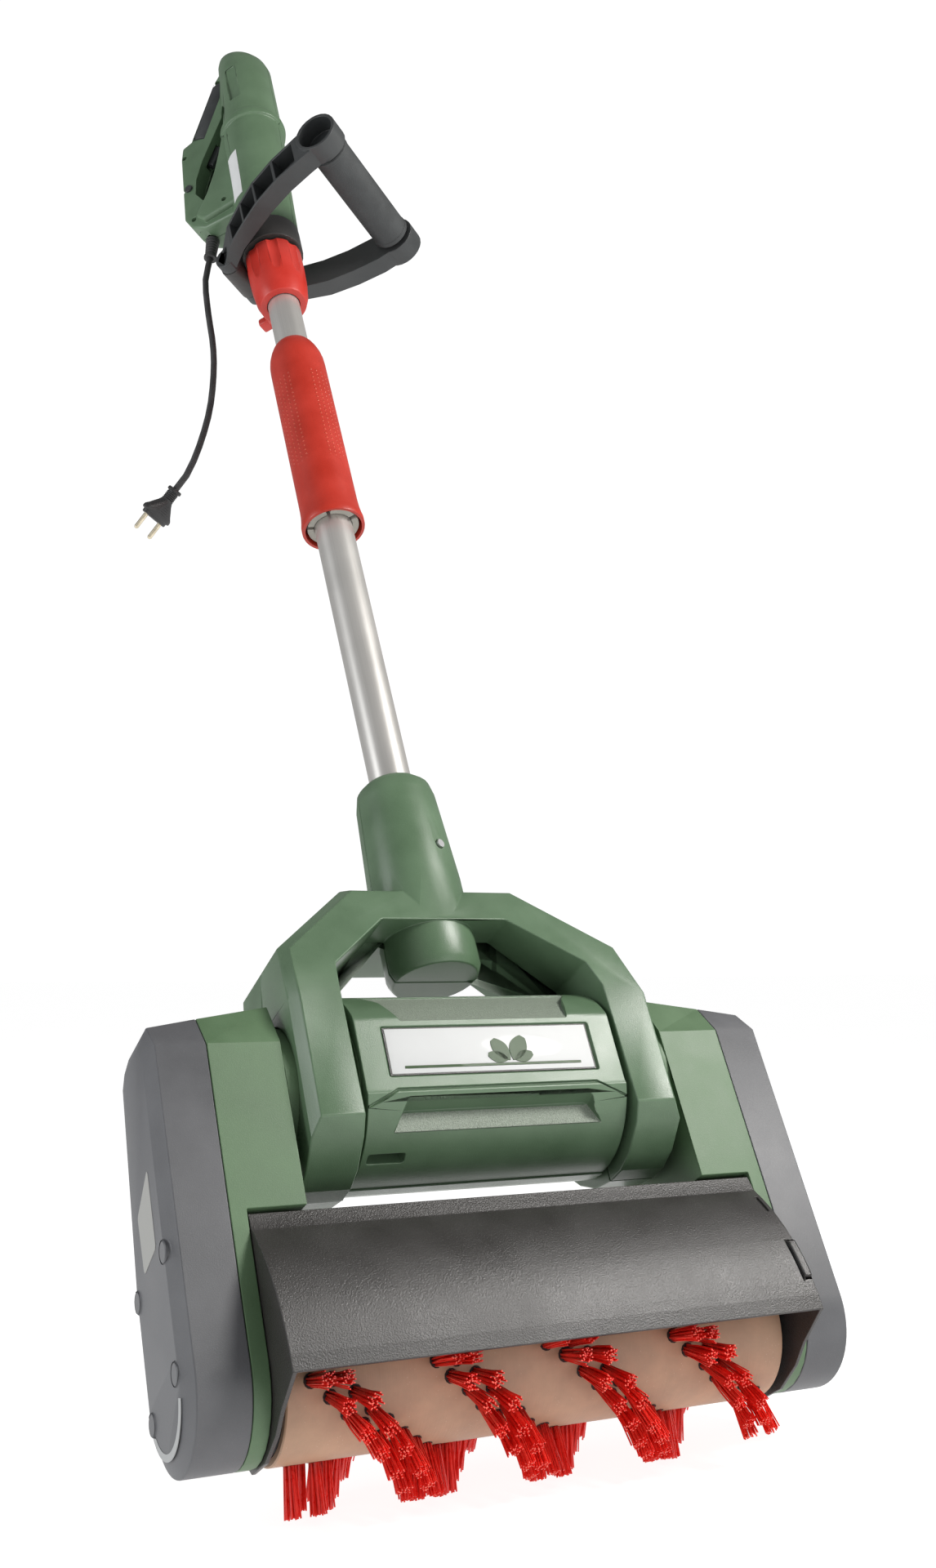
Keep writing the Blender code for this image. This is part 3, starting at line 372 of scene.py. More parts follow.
@dataclass(frozen=True)
class NylonBristle:
    """Bright nylon filament: darkened at the root by painted shade, pale and frosted at the cut tip."""

    name: str
    colour: Colour = (0.80, 0.016, 0.010)
    tip: Colour = (0.95, 0.15, 0.10)
    root_radius: float = 0.0415
    tip_radius: float = 0.069

    def build(self) -> bpy.types.Material:
        """Makes the material."""
        recipe = Recipe(self.name)
        centre = LEAN @ Vector((0, 0, BRUSH_Z))
        back, up = (LEAN.to_3x3() @ Vector(axis) for axis in ((0, 1, 0), (0, 0, 1)))
        first, second = recipe.along(back, centre), recipe.along(up, centre)
        radius = (first * first + second * second).math("SQRT")
        shade = recipe.noise(420.0, 2.0)
        # Darker towards the core: painted shade among the tufts' roots.
        root = recipe.blend(radius.remapped(self.root_radius, self.root_radius + 0.008),
                            shaded(self.colour, 0.6), self.colour)
        varied = recipe.blend(shade.remapped(0.35, 0.65, 0, 0.5), root, (0.92, 0.050, 0.030))
        colour = recipe.blend(radius.remapped(self.tip_radius - 0.0012, self.tip_radius - 0.0004), varied,
                              self.tip)
        return recipe.finish(Base_Color=colour, Roughness=shade.remapped(0.3, 0.7, 0.26, 0.42),
                             Normal=recipe.bumped(recipe.noise(2400.0), 0.00004), Specular_IOR_Level=0.55)


@dataclass(frozen=True)
class CastPolymer:
    """Mottled resin of the roller core, with flecks and shallow tool marks."""

    name: str
    colour: Colour = (0.43, 0.265, 0.17)

    def build(self) -> bpy.types.Material:
        """Makes the material."""
        recipe = Recipe(self.name)
        cloud = recipe.noise(34.0, 5.0, 0.6)
        fleck = recipe.cells(520.0).remapped(0.06, 0.16, 1, 0) * recipe.noise(60.0).over(0.54)
        base = recipe.blend(cloud.remapped(0.3, 0.7), shaded(self.colour, 0.84),
                            shaded(self.colour, 1.14))
        colour = recipe.blend(fleck * 0.45, base, (0.74, 0.60, 0.46))
        marks = recipe.noise(1.0, 3.0, 0.5, recipe.stretched(LEAN, (900, 30, 30)))
        return recipe.finish(Base_Color=colour, Roughness=cloud.remapped(0.3, 0.7, 0.46, 0.60),
                             Normal=recipe.bumped(marks + fleck * 0.4, 0.00012))


@dataclass(frozen=True)
class Metal:
    """Machined or plated metal with fine turning marks and faint tarnish."""

    name: str
    colour: Colour
    roughness: float = 0.3
    marks: Point = (1500, 60, 60)

    def build(self) -> bpy.types.Material:
        """Makes the material."""
        recipe = Recipe(self.name)
        lines = recipe.noise(1.0, 2.0, 0.5, recipe.stretched(LEAN, self.marks))
        tarnish = recipe.noise(90.0, 4.0, 0.6)
        colour = recipe.blend(tarnish.remapped(0.4, 0.75), self.colour, shaded(self.colour, 0.72))
        return recipe.finish(Base_Color=colour, Metallic=1.0, Normal=recipe.bumped(lines, 0.00003),
                             Roughness=tarnish.remapped(0.3, 0.7, self.roughness, self.roughness + 0.14))


@dataclass(frozen=True)
class GlossPlate:
    """Printed film: satin, faintly wavy, under a trace of clear coat."""

    name: str
    colour: Colour = (0.62, 0.63, 0.63)
    roughness: float = 0.60

    def build(self) -> bpy.types.Material:
        """Makes the material."""
        recipe = Recipe(self.name)
        film = recipe.noise(45.0, 2.0)
        colour = recipe.blend(film.remapped(0.3, 0.7), shaded(self.colour, 0.96), self.colour)
        return recipe.finish(Base_Color=colour,
                             Roughness=film.remapped(0.3, 0.7, self.roughness, self.roughness + 0.08),
                             Normal=recipe.bumped(recipe.noise(220.0), 0.00002), Coat_Weight=0.08)


@dataclass(frozen=True)
class Laminated:
    """Stacked laminations or windings: thin bands across the motor's axis."""

    name: str
    colour: Colour
    band: float = 0.0010
    metallic: float = 1.0

    def build(self) -> bpy.types.Material:
        """Makes the material."""
        recipe = Recipe(self.name)
        height = ((recipe.along((1, 0, 0)) / self.band).math("FRACT") - 0.5).math("ABSOLUTE") * 2
        patina = recipe.noise(120.0, 4.0, 0.6)
        colour = recipe.blend(patina.remapped(0.35, 0.7), self.colour, shaded(self.colour, 0.6))
        return recipe.finish(Base_Color=colour, Metallic=self.metallic, Normal=recipe.bumped(height, 0.00025),
                             Roughness=patina.remapped(0.3, 0.7, 0.34, 0.52))


class Finish(Enum):
    """Every finish on the machine."""

    HOUSING = MouldedPlastic("housing_plastic", (0.086, 0.148, 0.082), 0.34)
    SIDE = MouldedPlastic("side_plastic", (0.082, 0.150, 0.072), 0.50, depth=0.00007)
    # PANEL is lighter than the housing, partly for its matt texture and partly as painted light on panels
    # that face the lamp.
    PANEL = SparkTexture("panel_texture", (0.190, 0.225, 0.180))
    COVER = MouldedPlastic("cover_plastic", (0.088, 0.090, 0.097), 0.48, depth=0.00008)
    GUARD = MouldedPlastic("guard_plastic", (0.026, 0.0235, 0.0220), 0.34, 1100.0, 0.00028, 0.05)
    GRIP = MouldedPlastic("grip_plastic", (0.024, 0.027, 0.028), 0.42, depth=0.00012, unevenness=0.04)
    RUBBER = SoftRubber("grip_rubber", (0.028, 0.031, 0.032))
    CONTROL = MouldedPlastic("control_plastic", (0.46, 0.022, 0.012), 0.34, depth=0.00006, scuffs=0.1)
    SLEEVE = DottedControl("sleeve_red", (0.42, 0.020, 0.007))
    TUBE = DrawnTube("drawn_alloy")
    COLLET = MouldedPlastic("collet_plastic", (0.34, 0.33, 0.29), 0.50)
    BRISTLE = NylonBristle("bristle_nylon")
    # This finish colours the painted shadow disc under each tuft.
    ROOT = MouldedPlastic("root_shadow", (0.020, 0.010, 0.008), 0.80)
    CORE = CastPolymer("core_polymer")
    LABEL = GlossPlate("label_film")
    LEAF = GlossPlate("leaf_print", (0.020, 0.060, 0.010), 0.60)
    STICKER = GlossPlate("sticker_film", (0.30, 0.30, 0.285), 0.55)
    ARROW = GlossPlate("arrow_print", (0.33, 0.34, 0.34), 0.40)
    STEEL = Metal("bright_steel", (0.55, 0.55, 0.56))
    BRASS = Metal("turned_brass", (0.74, 0.66, 0.50), 0.22, (900, 900, 900))
    STATOR = Laminated("stacked_steel", (0.40, 0.40, 0.41))
    WINDINGS = Laminated("copper_windings", (0.62, 0.27, 0.13), 0.0007)
    BELT = Laminated("ribbed_belt", (0.022, 0.022, 0.022), 0.0021, 0.0)
    CABLE = SoftRubber("cable_sheath", (0.034, 0.034, 0.035), 0.50)
    PLUG = MouldedPlastic("plug_plastic", (0.018, 0.018, 0.019), 0.44)

    def material(self) -> bpy.types.Material:
        """The finish's material, made the first time it is asked for."""
        return bpy.data.materials.get(self.value.name) or self.value.build()


# -------------------------------------------------------------------------------------------------- shapes


def arc(centre: Flat, radius: float, start: float, end: float, count: int) -> list[Flat]:
    """Points on a circle from one angle to another, in degrees."""
    span = [radians(start + (end - start) * i / count) for i in range(count + 1)]
    return [(centre[0] + radius * cos(a), centre[1] + radius * sin(a)) for a in span]


class Shape:
    """A solid in the making: a bmesh and the operators that this machine's pieces need."""

    def __init__(self, bm: bmesh.types.BMesh | None = None, tint: int = 0) -> None:
        """Starts from a bmesh, or from nothing; tint numbers the material of the faces it cuts or adds."""
        self.bm = bm or bmesh.new()
        self.tint = tint

    @classmethod
    def of_node(cls, name: str) -> "Shape":
        """A merged copy of a frame node, with its flat faces made whole.

        Args:
            name: The frame node.

        Returns:
            The copy, still in the machine's axes.
        """
        bm = bmesh.new()
        bm.from_mesh(bpy.data.objects[name].data)
        bmesh.ops.remove_doubles(bm, verts=bm.verts, dist=2e-5)
        bmesh.ops.dissolve_limit(bm, angle_limit=radians(0.8), verts=bm.verts, edges=bm.edges)
        for face in bm.faces:
            face.material_index = 0
        return cls(bm)

    @classmethod
    def block(cls, low: Point, high: Point, tint: int = 0) -> "Shape":
        """A box between two corners.

        Args:
            low: The corner with the lowest coordinates.
            high: The corner across from it.
            tint: The material number of its faces.

        Returns:
            The box.
        """
        bm = bmesh.new()
        bmesh.ops.create_cube(bm, size=1)
        size = Vector(high) - Vector(low)
        bm.transform(Matrix.Translation((Vector(high) + Vector(low)) / 2) @ Matrix.Diagonal((*size, 1)))
        return cls(bm, tint)

    @classmethod
    def rod(cls, radius: float, low: float, high: float, axis: str = "X", steps: int = 32,
            tint: int = 0) -> "Shape":
        """A round bar along an axis."""
        return cls.turned([(radius, low), (radius, high)], axis, steps, tint=tint)

    @classmethod
    def turned(cls, profile: Sequence[Flat], axis: str = "Z", steps: int = 64, closed: bool = False,
               tint: int = 0) -> "Shape":
        """A (radius, height) profile spun about an axis.

        Args:
            profile: The profile's corners.
            axis: "X" or "Z".
            steps: Sides of the full turn.
            closed: Whether the last corner joins the first, as on a tube.
            tint: The material number of its faces.

        Returns:
            The closed solid.
        """
        bm = bmesh.new()
        verts = [bm.verts.new((radius, 0, height)) for radius, height in profile]
        edges = [bm.edges.new(pair) for pair in zip(verts, verts[1:])]
        if closed:
            edges.append(bm.edges.new((verts[-1], verts[0])))
        bmesh.ops.spin(bm, geom=verts + edges, cent=(0, 0, 0), axis=(0, 0, 1), angle=2 * pi, steps=steps,
                       use_merge=True)
        bmesh.ops.remove_doubles(bm, verts=bm.verts, dist=1e-6)
        bmesh.ops.holes_fill(bm, edges=[edge for edge in bm.edges if edge.is_boundary])
        if axis == "X":
            bm.transform(Matrix.Rotation(pi / 2, 4, "Y"))
        bmesh.ops.recalc_face_normals(bm, faces=bm.faces)
        return cls(bm, tint)

    @classmethod
    def loft(cls, sections: Sequence[Sequence[Sequence[float]]], tint: int = 0) -> "Shape":
        """A solid drawn out from section to section.

        Args:
            sections: Rings of points, each with as many.
            tint: The material number of its faces.

        Returns:
            The solid, closed at both ends.
        """
        bm = bmesh.new()
        ring = [bm.verts.new(point) for point in sections[0]]
        edges = [bm.edges.new((ring[i - 1], ring[i])) for i in range(len(ring))]
        bm.faces.new(ring)
        for section in sections[1:]:
            made = bmesh.ops.extrude_edge_only(bm, edges=edges)["geom"]
            fresh = {item for item in made if isinstance(item, bmesh.types.BMVert)}
            ring = [next(edge.other_vert(vert) for edge in vert.link_edges if edge.other_vert(vert) in fresh)
                    for vert in ring]
            for vert, point in zip(ring, section):
                vert.co = point
            edges = [item for item in made if isinstance(item, bmesh.types.BMEdge)
                     and set(item.verts) <= fresh]
        bm.faces.new(ring)
        bmesh.ops.recalc_face_normals(bm, faces=bm.faces)
        return cls(bm, tint)

    @classmethod
    def slab(cls, outline: Sequence[Flat], low: float, high: float, tint: int = 0) -> "Shape":
        """A (y, z) outline drawn along X.

        Args:
            outline: The outline's corners.
            low: Where it starts.
            high: Where it ends.
            tint: The material number of its faces.

        Returns:
            The solid.
        """
        bm = bmesh.new()
        face = bm.faces.new([bm.verts.new((low, y, z)) for y, z in outline])
        made = bmesh.ops.extrude_face_region(bm, geom=[face])["geom"]
        verts = [item for item in made if isinstance(item, bmesh.types.BMVert)]
        bmesh.ops.translate(bm, verts=verts, vec=(high - low, 0, 0))
        bmesh.ops.recalc_face_normals(bm, faces=bm.faces)
        return cls(bm, tint)

    def moved(self, offset: Sequence[float]) -> "Shape":
        """This shape, shifted."""
        bmesh.ops.translate(self.bm, verts=self.bm.verts, vec=offset)
        return self

    def set_by(self, matrix: Matrix) -> "Shape":
        """This shape, placed by a matrix."""
        self.bm.transform(matrix)
        return self

    def eased(self, width: float, segments: int = 2, angle: float = 32) -> "Shape":
        """This shape with its sharp edges bevelled.

        Args:
            width: Width of the bevel.
            segments: Steps across it.
            angle: Degrees past which an edge counts as sharp.

        Returns:
            This shape.
        """
        edges = [e for e in self.bm.edges if e.is_manifold and e.calc_face_angle(0) > radians(angle)]
        bmesh.ops.bevel(self.bm, geom=edges, offset=width, segments=segments, profile=0.5, affect="EDGES",
                        material=-1, clamp_overlap=True)
        return self

    def with_(self, *others: "Shape") -> "Shape":
        """This shape with others beside it in the same mesh, each keeping its material number.

        Args:
            others: Shapes to add; they are used up.

        Returns:
            This shape.
        """
        for other in others:
            tint = other.tint
            mesh = other.mesh("loose")
            if tint:
                mesh.polygons.foreach_set("material_index", [tint] * len(mesh.polygons))
            self.bm.from_mesh(mesh)
            bpy.data.meshes.remove(mesh)
        return self

    def mesh(self, name: str) -> bpy.types.Mesh:
        """Turns the bmesh into a mesh and frees it.

        Args:
            name: The mesh's name.

        Returns:
            The mesh.
        """
        mesh = bpy.data.meshes.new(name)
        self.bm.to_mesh(mesh)
        self.bm.free()
        return mesh

    def carved(self, cuts: Iterable["Shape"] = (), joins: Iterable["Shape"] = ()) -> "Shape":
        """This shape joined with some solids, then cut by others; new faces take each tool's material number.

        Args:
            cuts: Solids to take away.
            joins: Solids to join on.

        Returns:
            The carved shape.
        """
        tools = []

        def bench(shape: "Shape") -> bpy.types.Object:
            """A shape as an object with spare material slots.

            Args:
                shape: The shape; it is used up.

            Returns:
                The object, which is removed once the carving is done.
            """
            tint = shape.tint
            mesh = shape.mesh("bench")
            for _ in range(3):
                mesh.materials.append(None)
            if tint:
                mesh.polygons.foreach_set("material_index", [tint] * len(mesh.polygons))
            obj = bpy.data.objects.new("bench", mesh)
            bpy.context.collection.objects.link(obj)
            tools.append(obj)
            return obj

        own = self.tint
        self.tint = 0
        stock = bench(self)
        for operation, group in (("UNION", joins), ("DIFFERENCE", cuts)):
            for shape in group:
                step = stock.modifiers.new(operation, "BOOLEAN")
                step.operation, step.solver, step.object = operation, "EXACT", bench(shape)
        bpy.context.view_layer.update()
        result = bpy.data.meshes.new_from_object(stock.evaluated_get(bpy.context.evaluated_depsgraph_get()))
        bm = bmesh.new()
        bm.from_mesh(result)
        bmesh.ops.remove_doubles(bm, verts=bm.verts, dist=2e-5)
        for obj in tools:
            old = obj.data
            bpy.data.objects.remove(obj, do_unlink=True)
            bpy.data.meshes.remove(old)
        bpy.data.meshes.remove(result)
        return Shape(bm, own)


def settle(name: str, shape: Shape, finishes: Sequence[Finish], body: str,
           matrix: Matrix | None = LEAN, nodes: Sequence[str] = (), soften: float = 0.0, segments: int = 2,
           crease: float = 34) -> bpy.types.Object:
    """Makes a finished piece of a shape and lets it ride on its body.

    Args:
        name: The piece's name.
        shape: The solid.
        finishes: Finishes in the order of the shape's material numbers.
        body: The frame body that it rides on.
        matrix: From the shape's axes to the machine's; None leaves it where it is.
        nodes: Frame nodes that it stands for.
        soften: Width of the rounded edges.
        segments: Steps across a rounded edge.
        crease: Degrees past which an edge stays sharp.

    Returns:
        The piece.
    """
    if matrix is not None:
        shape.bm.transform(matrix)
    mesh = shape.mesh(name)
    for finish in finishes:
        mesh.materials.append(finish.material())
    mesh.shade_smooth()
    mesh.set_sharp_from_angle(angle=radians(crease))
    piece = bpy.data.objects.new(name, mesh)
    bpy.context.collection.objects.link(piece)
    if soften:
        edge = piece.modifiers.new("soft edges", "BEVEL")
        edge.width, edge.segments = soften, segments
        edge.limit_method, edge.angle_limit = "ANGLE", radians(crease)
        edge.use_clamp_overlap, edge.harden_normals, edge.miter_outer = False, True, "MITER_ARC"
    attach(piece, body)
    if nodes:
        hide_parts(*nodes)
    log.info("%s: %d faces on %s", name, len(mesh.polygons), body)
    return piece


@dataclass
class Assembly:
    """What every sub-assembly shares: the loaded frame."""

    frame: dict[str, Any]

    def body_of(self, node: str) -> str:
        """The body that a frame node rides on."""
        return self.frame["nodes"][node]["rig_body"]

    def refine(self, node: str, finishes: Sequence[Finish], slot: str, cuts: Sequence[Shape] = (),
               joins: Sequence[Shape] = (), soften: float = 0.0007, matrix: Matrix = LEAN,
               segments: int = 2, crease: float = 34) -> bpy.types.Object:
        """Rebuilds a frame node with finer details and rounded edges.

        Args:
            node: The frame node.
            finishes: Finishes in the order of the tools' material numbers.
            slot: The record's material slot; not used.
            cuts: Details to cut, in the part's own axes.
            joins: Details to add, in the part's own axes.
            soften: Width of the rounded edges.
            matrix: From the part's axes to the machine's.
            segments: Steps across a rounded edge.
            crease: Degrees past which an edge stays sharp.

        Returns:
            The piece.
        """
        shape = Shape.of_node(node)
        if cuts or joins:
            shape = shape.carved([cut.set_by(matrix) for cut in cuts],
                                 [join.set_by(matrix) for join in joins])
        return settle(f"{node}_moulding", shape, finishes, self.body_of(node), None, [node], soften,
                      segments, crease)

    def dress(self, finish: Finish, *nodes: str) -> None:
        """Gives frame nodes their finish.

        Args:
            finish: The finish.
            nodes: The frame nodes' names.
        """
        for node in nodes:
            obj = self.frame["nodes"][node]
            for place in obj.material_slots:
                place.material = finish.material()
            log.info("%s: dressed in %s", node, finish.value.name)


# ---------------------------------------------------------------------------------------------- assemblies


@dataclass
class Studio:
    """Pale floor, soft lights and the camera."""

    eye: Point = (-0.4568, -1.1304, 0.3045)
    tilt: float = 95.76
    pan: float = -26.10
    lens: float = 37.405

    def camera(self) -> None:
        """Sets the camera."""
        data = bpy.data.cameras.new("studio_camera")
        data.lens, data.sensor_width, data.sensor_fit = self.lens, 36.0, "AUTO"
        data.clip_start, data.clip_end = 0.05, 50
        obj = bpy.data.objects.new("studio_camera", data)
        obj.location = self.eye
        obj.rotation_euler = (radians(self.tilt), 0, radians(self.pan))
        bpy.context.collection.objects.link(obj)
        bpy.context.scene.camera = obj

    def lamp(self, name: str, place: Point, target: Point, size: float, power: float, tint: Colour) -> None:
        """Adds one soft area light that faces a point."""
        data = bpy.data.lights.new(name, "AREA")
        data.shape, data.size, data.energy, data.color = "DISK", size, power, tint
        obj = bpy.data.objects.new(name, data)
        obj.location = place
        obj.rotation_euler = (Vector(target) - Vector(place)).to_track_quat("-Z", "Y").to_euler()
        bpy.context.collection.objects.link(obj)

    def light(self) -> None:
        """Makes the floor, the pale surround and three soft lamps."""
        bm = bmesh.new()
        bmesh.ops.create_grid(bm, x_segments=2, y_segments=2, size=14)
        mesh = bpy.data.meshes.new("studio_floor")
        bm.to_mesh(mesh)
        bm.free()
        floor = bpy.data.objects.new("studio_floor", mesh)
        floor.location = (0, 0, -0.0006)
        bpy.context.collection.objects.link(floor)
        paper = Recipe("studio_paper")
        mesh.materials.append(paper.finish(
            Base_Color=paper.blend(paper.noise(3.0).remapped(0.3, 0.7), (0.30, 0.30, 0.30),
                                   (0.32, 0.32, 0.32)),
            Roughness=0.9, Emission_Color=(1.0, 1.0, 1.0), Emission_Strength=0.90))
        world = bpy.data.worlds.new("studio_surround")
        world.use_nodes = True
        surround = world.node_tree.nodes["Background"]
        surround.inputs["Color"].default_value = (1.0, 1.0, 1.0, 1)
        path = world.node_tree.nodes.new("ShaderNodeLightPath")
        level = world.node_tree.nodes.new("ShaderNodeMapRange")
        level.inputs["To Min"].default_value = 0.26
        level.inputs["To Max"].default_value = 1.05
        world.node_tree.links.new(path.outputs["Is Camera Ray"], level.inputs["Value"])
        world.node_tree.links.new(level.outputs["Result"], surround.inputs["Strength"])
        bpy.context.scene.world = world
        bpy.context.scene.view_settings.view_transform = "Standard"
        self.lamp("key", (0.95, -0.98, 1.40), (0.05, -0.2, 0.30), 0.6, 31, (1.0, 0.98, 0.95))
        self.lamp("fill", (-2.2, 0.1, 1.0), (0, -0.1, 0.4), 1.2, 24, (0.96, 0.98, 1.0))
        self.lamp("low_front", (0.6, -2.0, 0.25), (0, -0.2, 0.15), 0.9, 5, (1.0, 1.0, 1.0))


@dataclass
class Lead(Assembly):
    """Strain relief, hanging cord and two-pin plug."""

    radius: float = 0.0028
    relief_top: Flat = (0.0535, 0.8665)
    relief_end: Flat = (0.0610, 0.8420)
    spacing: float = 0.0155
    route: tuple[Flat, ...] = ((0.0700, 0.8180), (0.0732, 0.7770), (0.0745, 0.7368), (0.0793, 0.7034),
                               (0.0895, 0.6662), (0.1058, 0.6329), (0.1215, 0.6115), (0.1345, 0.6025))

    def line(self) -> list[Vector]:
        """Evenly spaced points of the cord in the handle's axes.

        Returns:
            The points, from the strain relief to the plug.
        """
        (y0, z0), (y1, z1) = self.relief_top, self.relief_end
        knots = [Vector((0, y0 + (y1 - y0) * share, z0 + (z1 - z0) * share)) for share in (0.22, 0.6, 1)]
        knots += [Vector((0, y, z)) for y, z in self.route]
        knots = [knots[0] * 2 - knots[1], *knots, knots[-1] * 2 - knots[-2]]
        dense = []
        for a, b, c, d in zip(knots, knots[1:], knots[2:], knots[3:]):
            for i in range(24):
                t = i / 24
                dense.append(0.5 * (2 * b + (c - a) * t + (2 * a - 5 * b + 4 * c - d) * t * t
                                    + (3 * b - a - 3 * c + d) * t ** 3))
        dense.append(knots[-2])
        total = sum((q - p).length for p, q in zip(dense, dense[1:]))
        count = ceil(total / self.spacing)
        result, walked, target = [dense[0]], 0.0, total / count
        for p, q in zip(dense, dense[1:]):
            step = (q - p).length
            while walked + step >= target * len(result) - 1e-9 and len(result) < count:
                result.append(p.lerp(q, (target * len(result) - walked) / step))
            walked += step
        return result + [dense[-1]]

    def plug_body(self, start: Vector, direction: Vector) -> bpy.types.Object:
        """The plug's ribbed neck and flared, finger-grooved body.

        Args:
            start: Where the neck begins.
            direction: Where the pins point.

        Returns:
            The piece.
        """
        side = Vector((1, 0, 0))
        place = Matrix((side, direction.cross(side).normalized(), direction)).transposed().to_4x4()
        place.translation = start

        def oval(half_x: float, half_y: float, height: float) -> list[Point]:
            """One oval section, a little squared.

            Args:
                half_x: Half its width.
                half_y: Half its thickness.
                height: How far along the plug it lies.

            Returns:
                The section's points.
            """
            points = []
            for i in range(40):
                u, v = cos(2 * pi * i / 40), sin(2 * pi * i / 40)
                points.append((copysign(half_x * abs(u) ** 0.85, u), copysign(half_y * abs(v) ** 0.85, v),
                               height))
            return points

        rows = [(0.0056, 0.0056, 0.0), (0.0060, 0.0060, 0.0008), (0.0060, 0.0060, 0.0026),
                (0.0046, 0.0046, 0.0033)]
        for i in range(5):
            low = 0.0038 + 0.0016 * i
            rows += [(0.0044, 0.0044, low), (0.0049, 0.0049, low + 0.0005), (0.0049, 0.0049, low + 0.0011)]
        rows += [(0.0050, 0.0048, 0.0121), (0.0068, 0.0054, 0.0150), (0.0094, 0.0061, 0.0180),
                 (0.0128, 0.0065, 0.0220), (0.0156, 0.0066, 0.0246), (0.0162, 0.0066, 0.0258),
                 (0.0162, 0.0066, 0.0276), (0.0155, 0.0064, 0.0283), (0.0136, 0.0061, 0.0287),
                 (0.0135, 0.0060, 0.0293), (0.0135, 0.0060, 0.0308), (0.0130, 0.0055, 0.0315)]
        grooves = []
        for sign in (-1, 1):
            for i in range(4):
                groove = Shape.rod(0.0007, -0.006, 0.006, "X", 12)
                groove.moved((0, sign * (0.0064 + 0.0002 * i), 0.0180 + 0.0020 * i))
                grooves.append(groove)
        shape = Shape.loft([oval(*row) for row in rows]).carved(grooves)
        return settle("plug_moulding", shape, [Finish.PLUG], self.body_of("plug"),
                      HANDLE @ place, ["plug"])

    def build(self) -> None:
        points = self.line()
        curve = bpy.data.curves.new("mains_cord", "CURVE")
        curve.dimensions, curve.use_fill_caps = "3D", True
        curve.bevel_depth, curve.bevel_resolution = self.radius, 4
        spline = curve.splines.new("POLY")
        spline.points.add(len(points) - 1)
        placed = [HANDLE @ point for point in points]
        for point, place in zip(spline.points, placed):
            point.co = (*place, 1)
        curve.materials.append(Finish.CABLE.material())
        cord = bpy.data.objects.new("mains_cord", curve)
        bpy.context.collection.objects.link(cord)
        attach(cord, self.body_of("cord"))
        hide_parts("cord")
        direction = (points[-1] - points[-2]).normalized()
        plug = self.plug_body(points[-1] + direction * CLEARANCE, direction)
        (y0, z0), (y1, z1) = self.relief_top, self.relief_end
        length = hypot(y1 - y0, z1 - z0)
        sum((q - p).length for p, q in zip(placed, placed[1:]))
        self.relief(aimed(self.relief_top, (y0 - y1, z0 - z1)), length)
        self.dress(Finish.BRASS, "plug_pin_a", "plug_pin_b")

    def relief(self, place: Matrix, length: float) -> None:
        """Ribbed strain relief that narrows to a flanged end.

        Args:
            place: From its own axes, with the cord going down Z, to the handle's.
            length: How far it hangs.
        """
        bore = self.radius + CLEARANCE
        profile = [(bore, -0.0045), (0.0064, -0.0045), (0.0062, -0.0060)]
        for i in range(5):
            low = -0.0085 - 0.0028 * i
            radius = 0.0060 - 0.00018 * i
            profile += [(radius, low), (radius - 0.0006, low - 0.0004), (radius - 0.0006, low - 0.0012),
                        (radius - 0.0001, low - 0.0016)]
        profile += [(0.0050, 0.0030 - length), (0.0058, 0.0026 - length), (0.0060, 0.0013 - length),
                    (0.0058, -length), (bore, -length)]
        settle("relief_moulding", Shape.turned(profile, "Z", 40, True), [Finish.CABLE],
               self.body_of("strain_relief"), HANDLE @ place, ["strain_relief"])


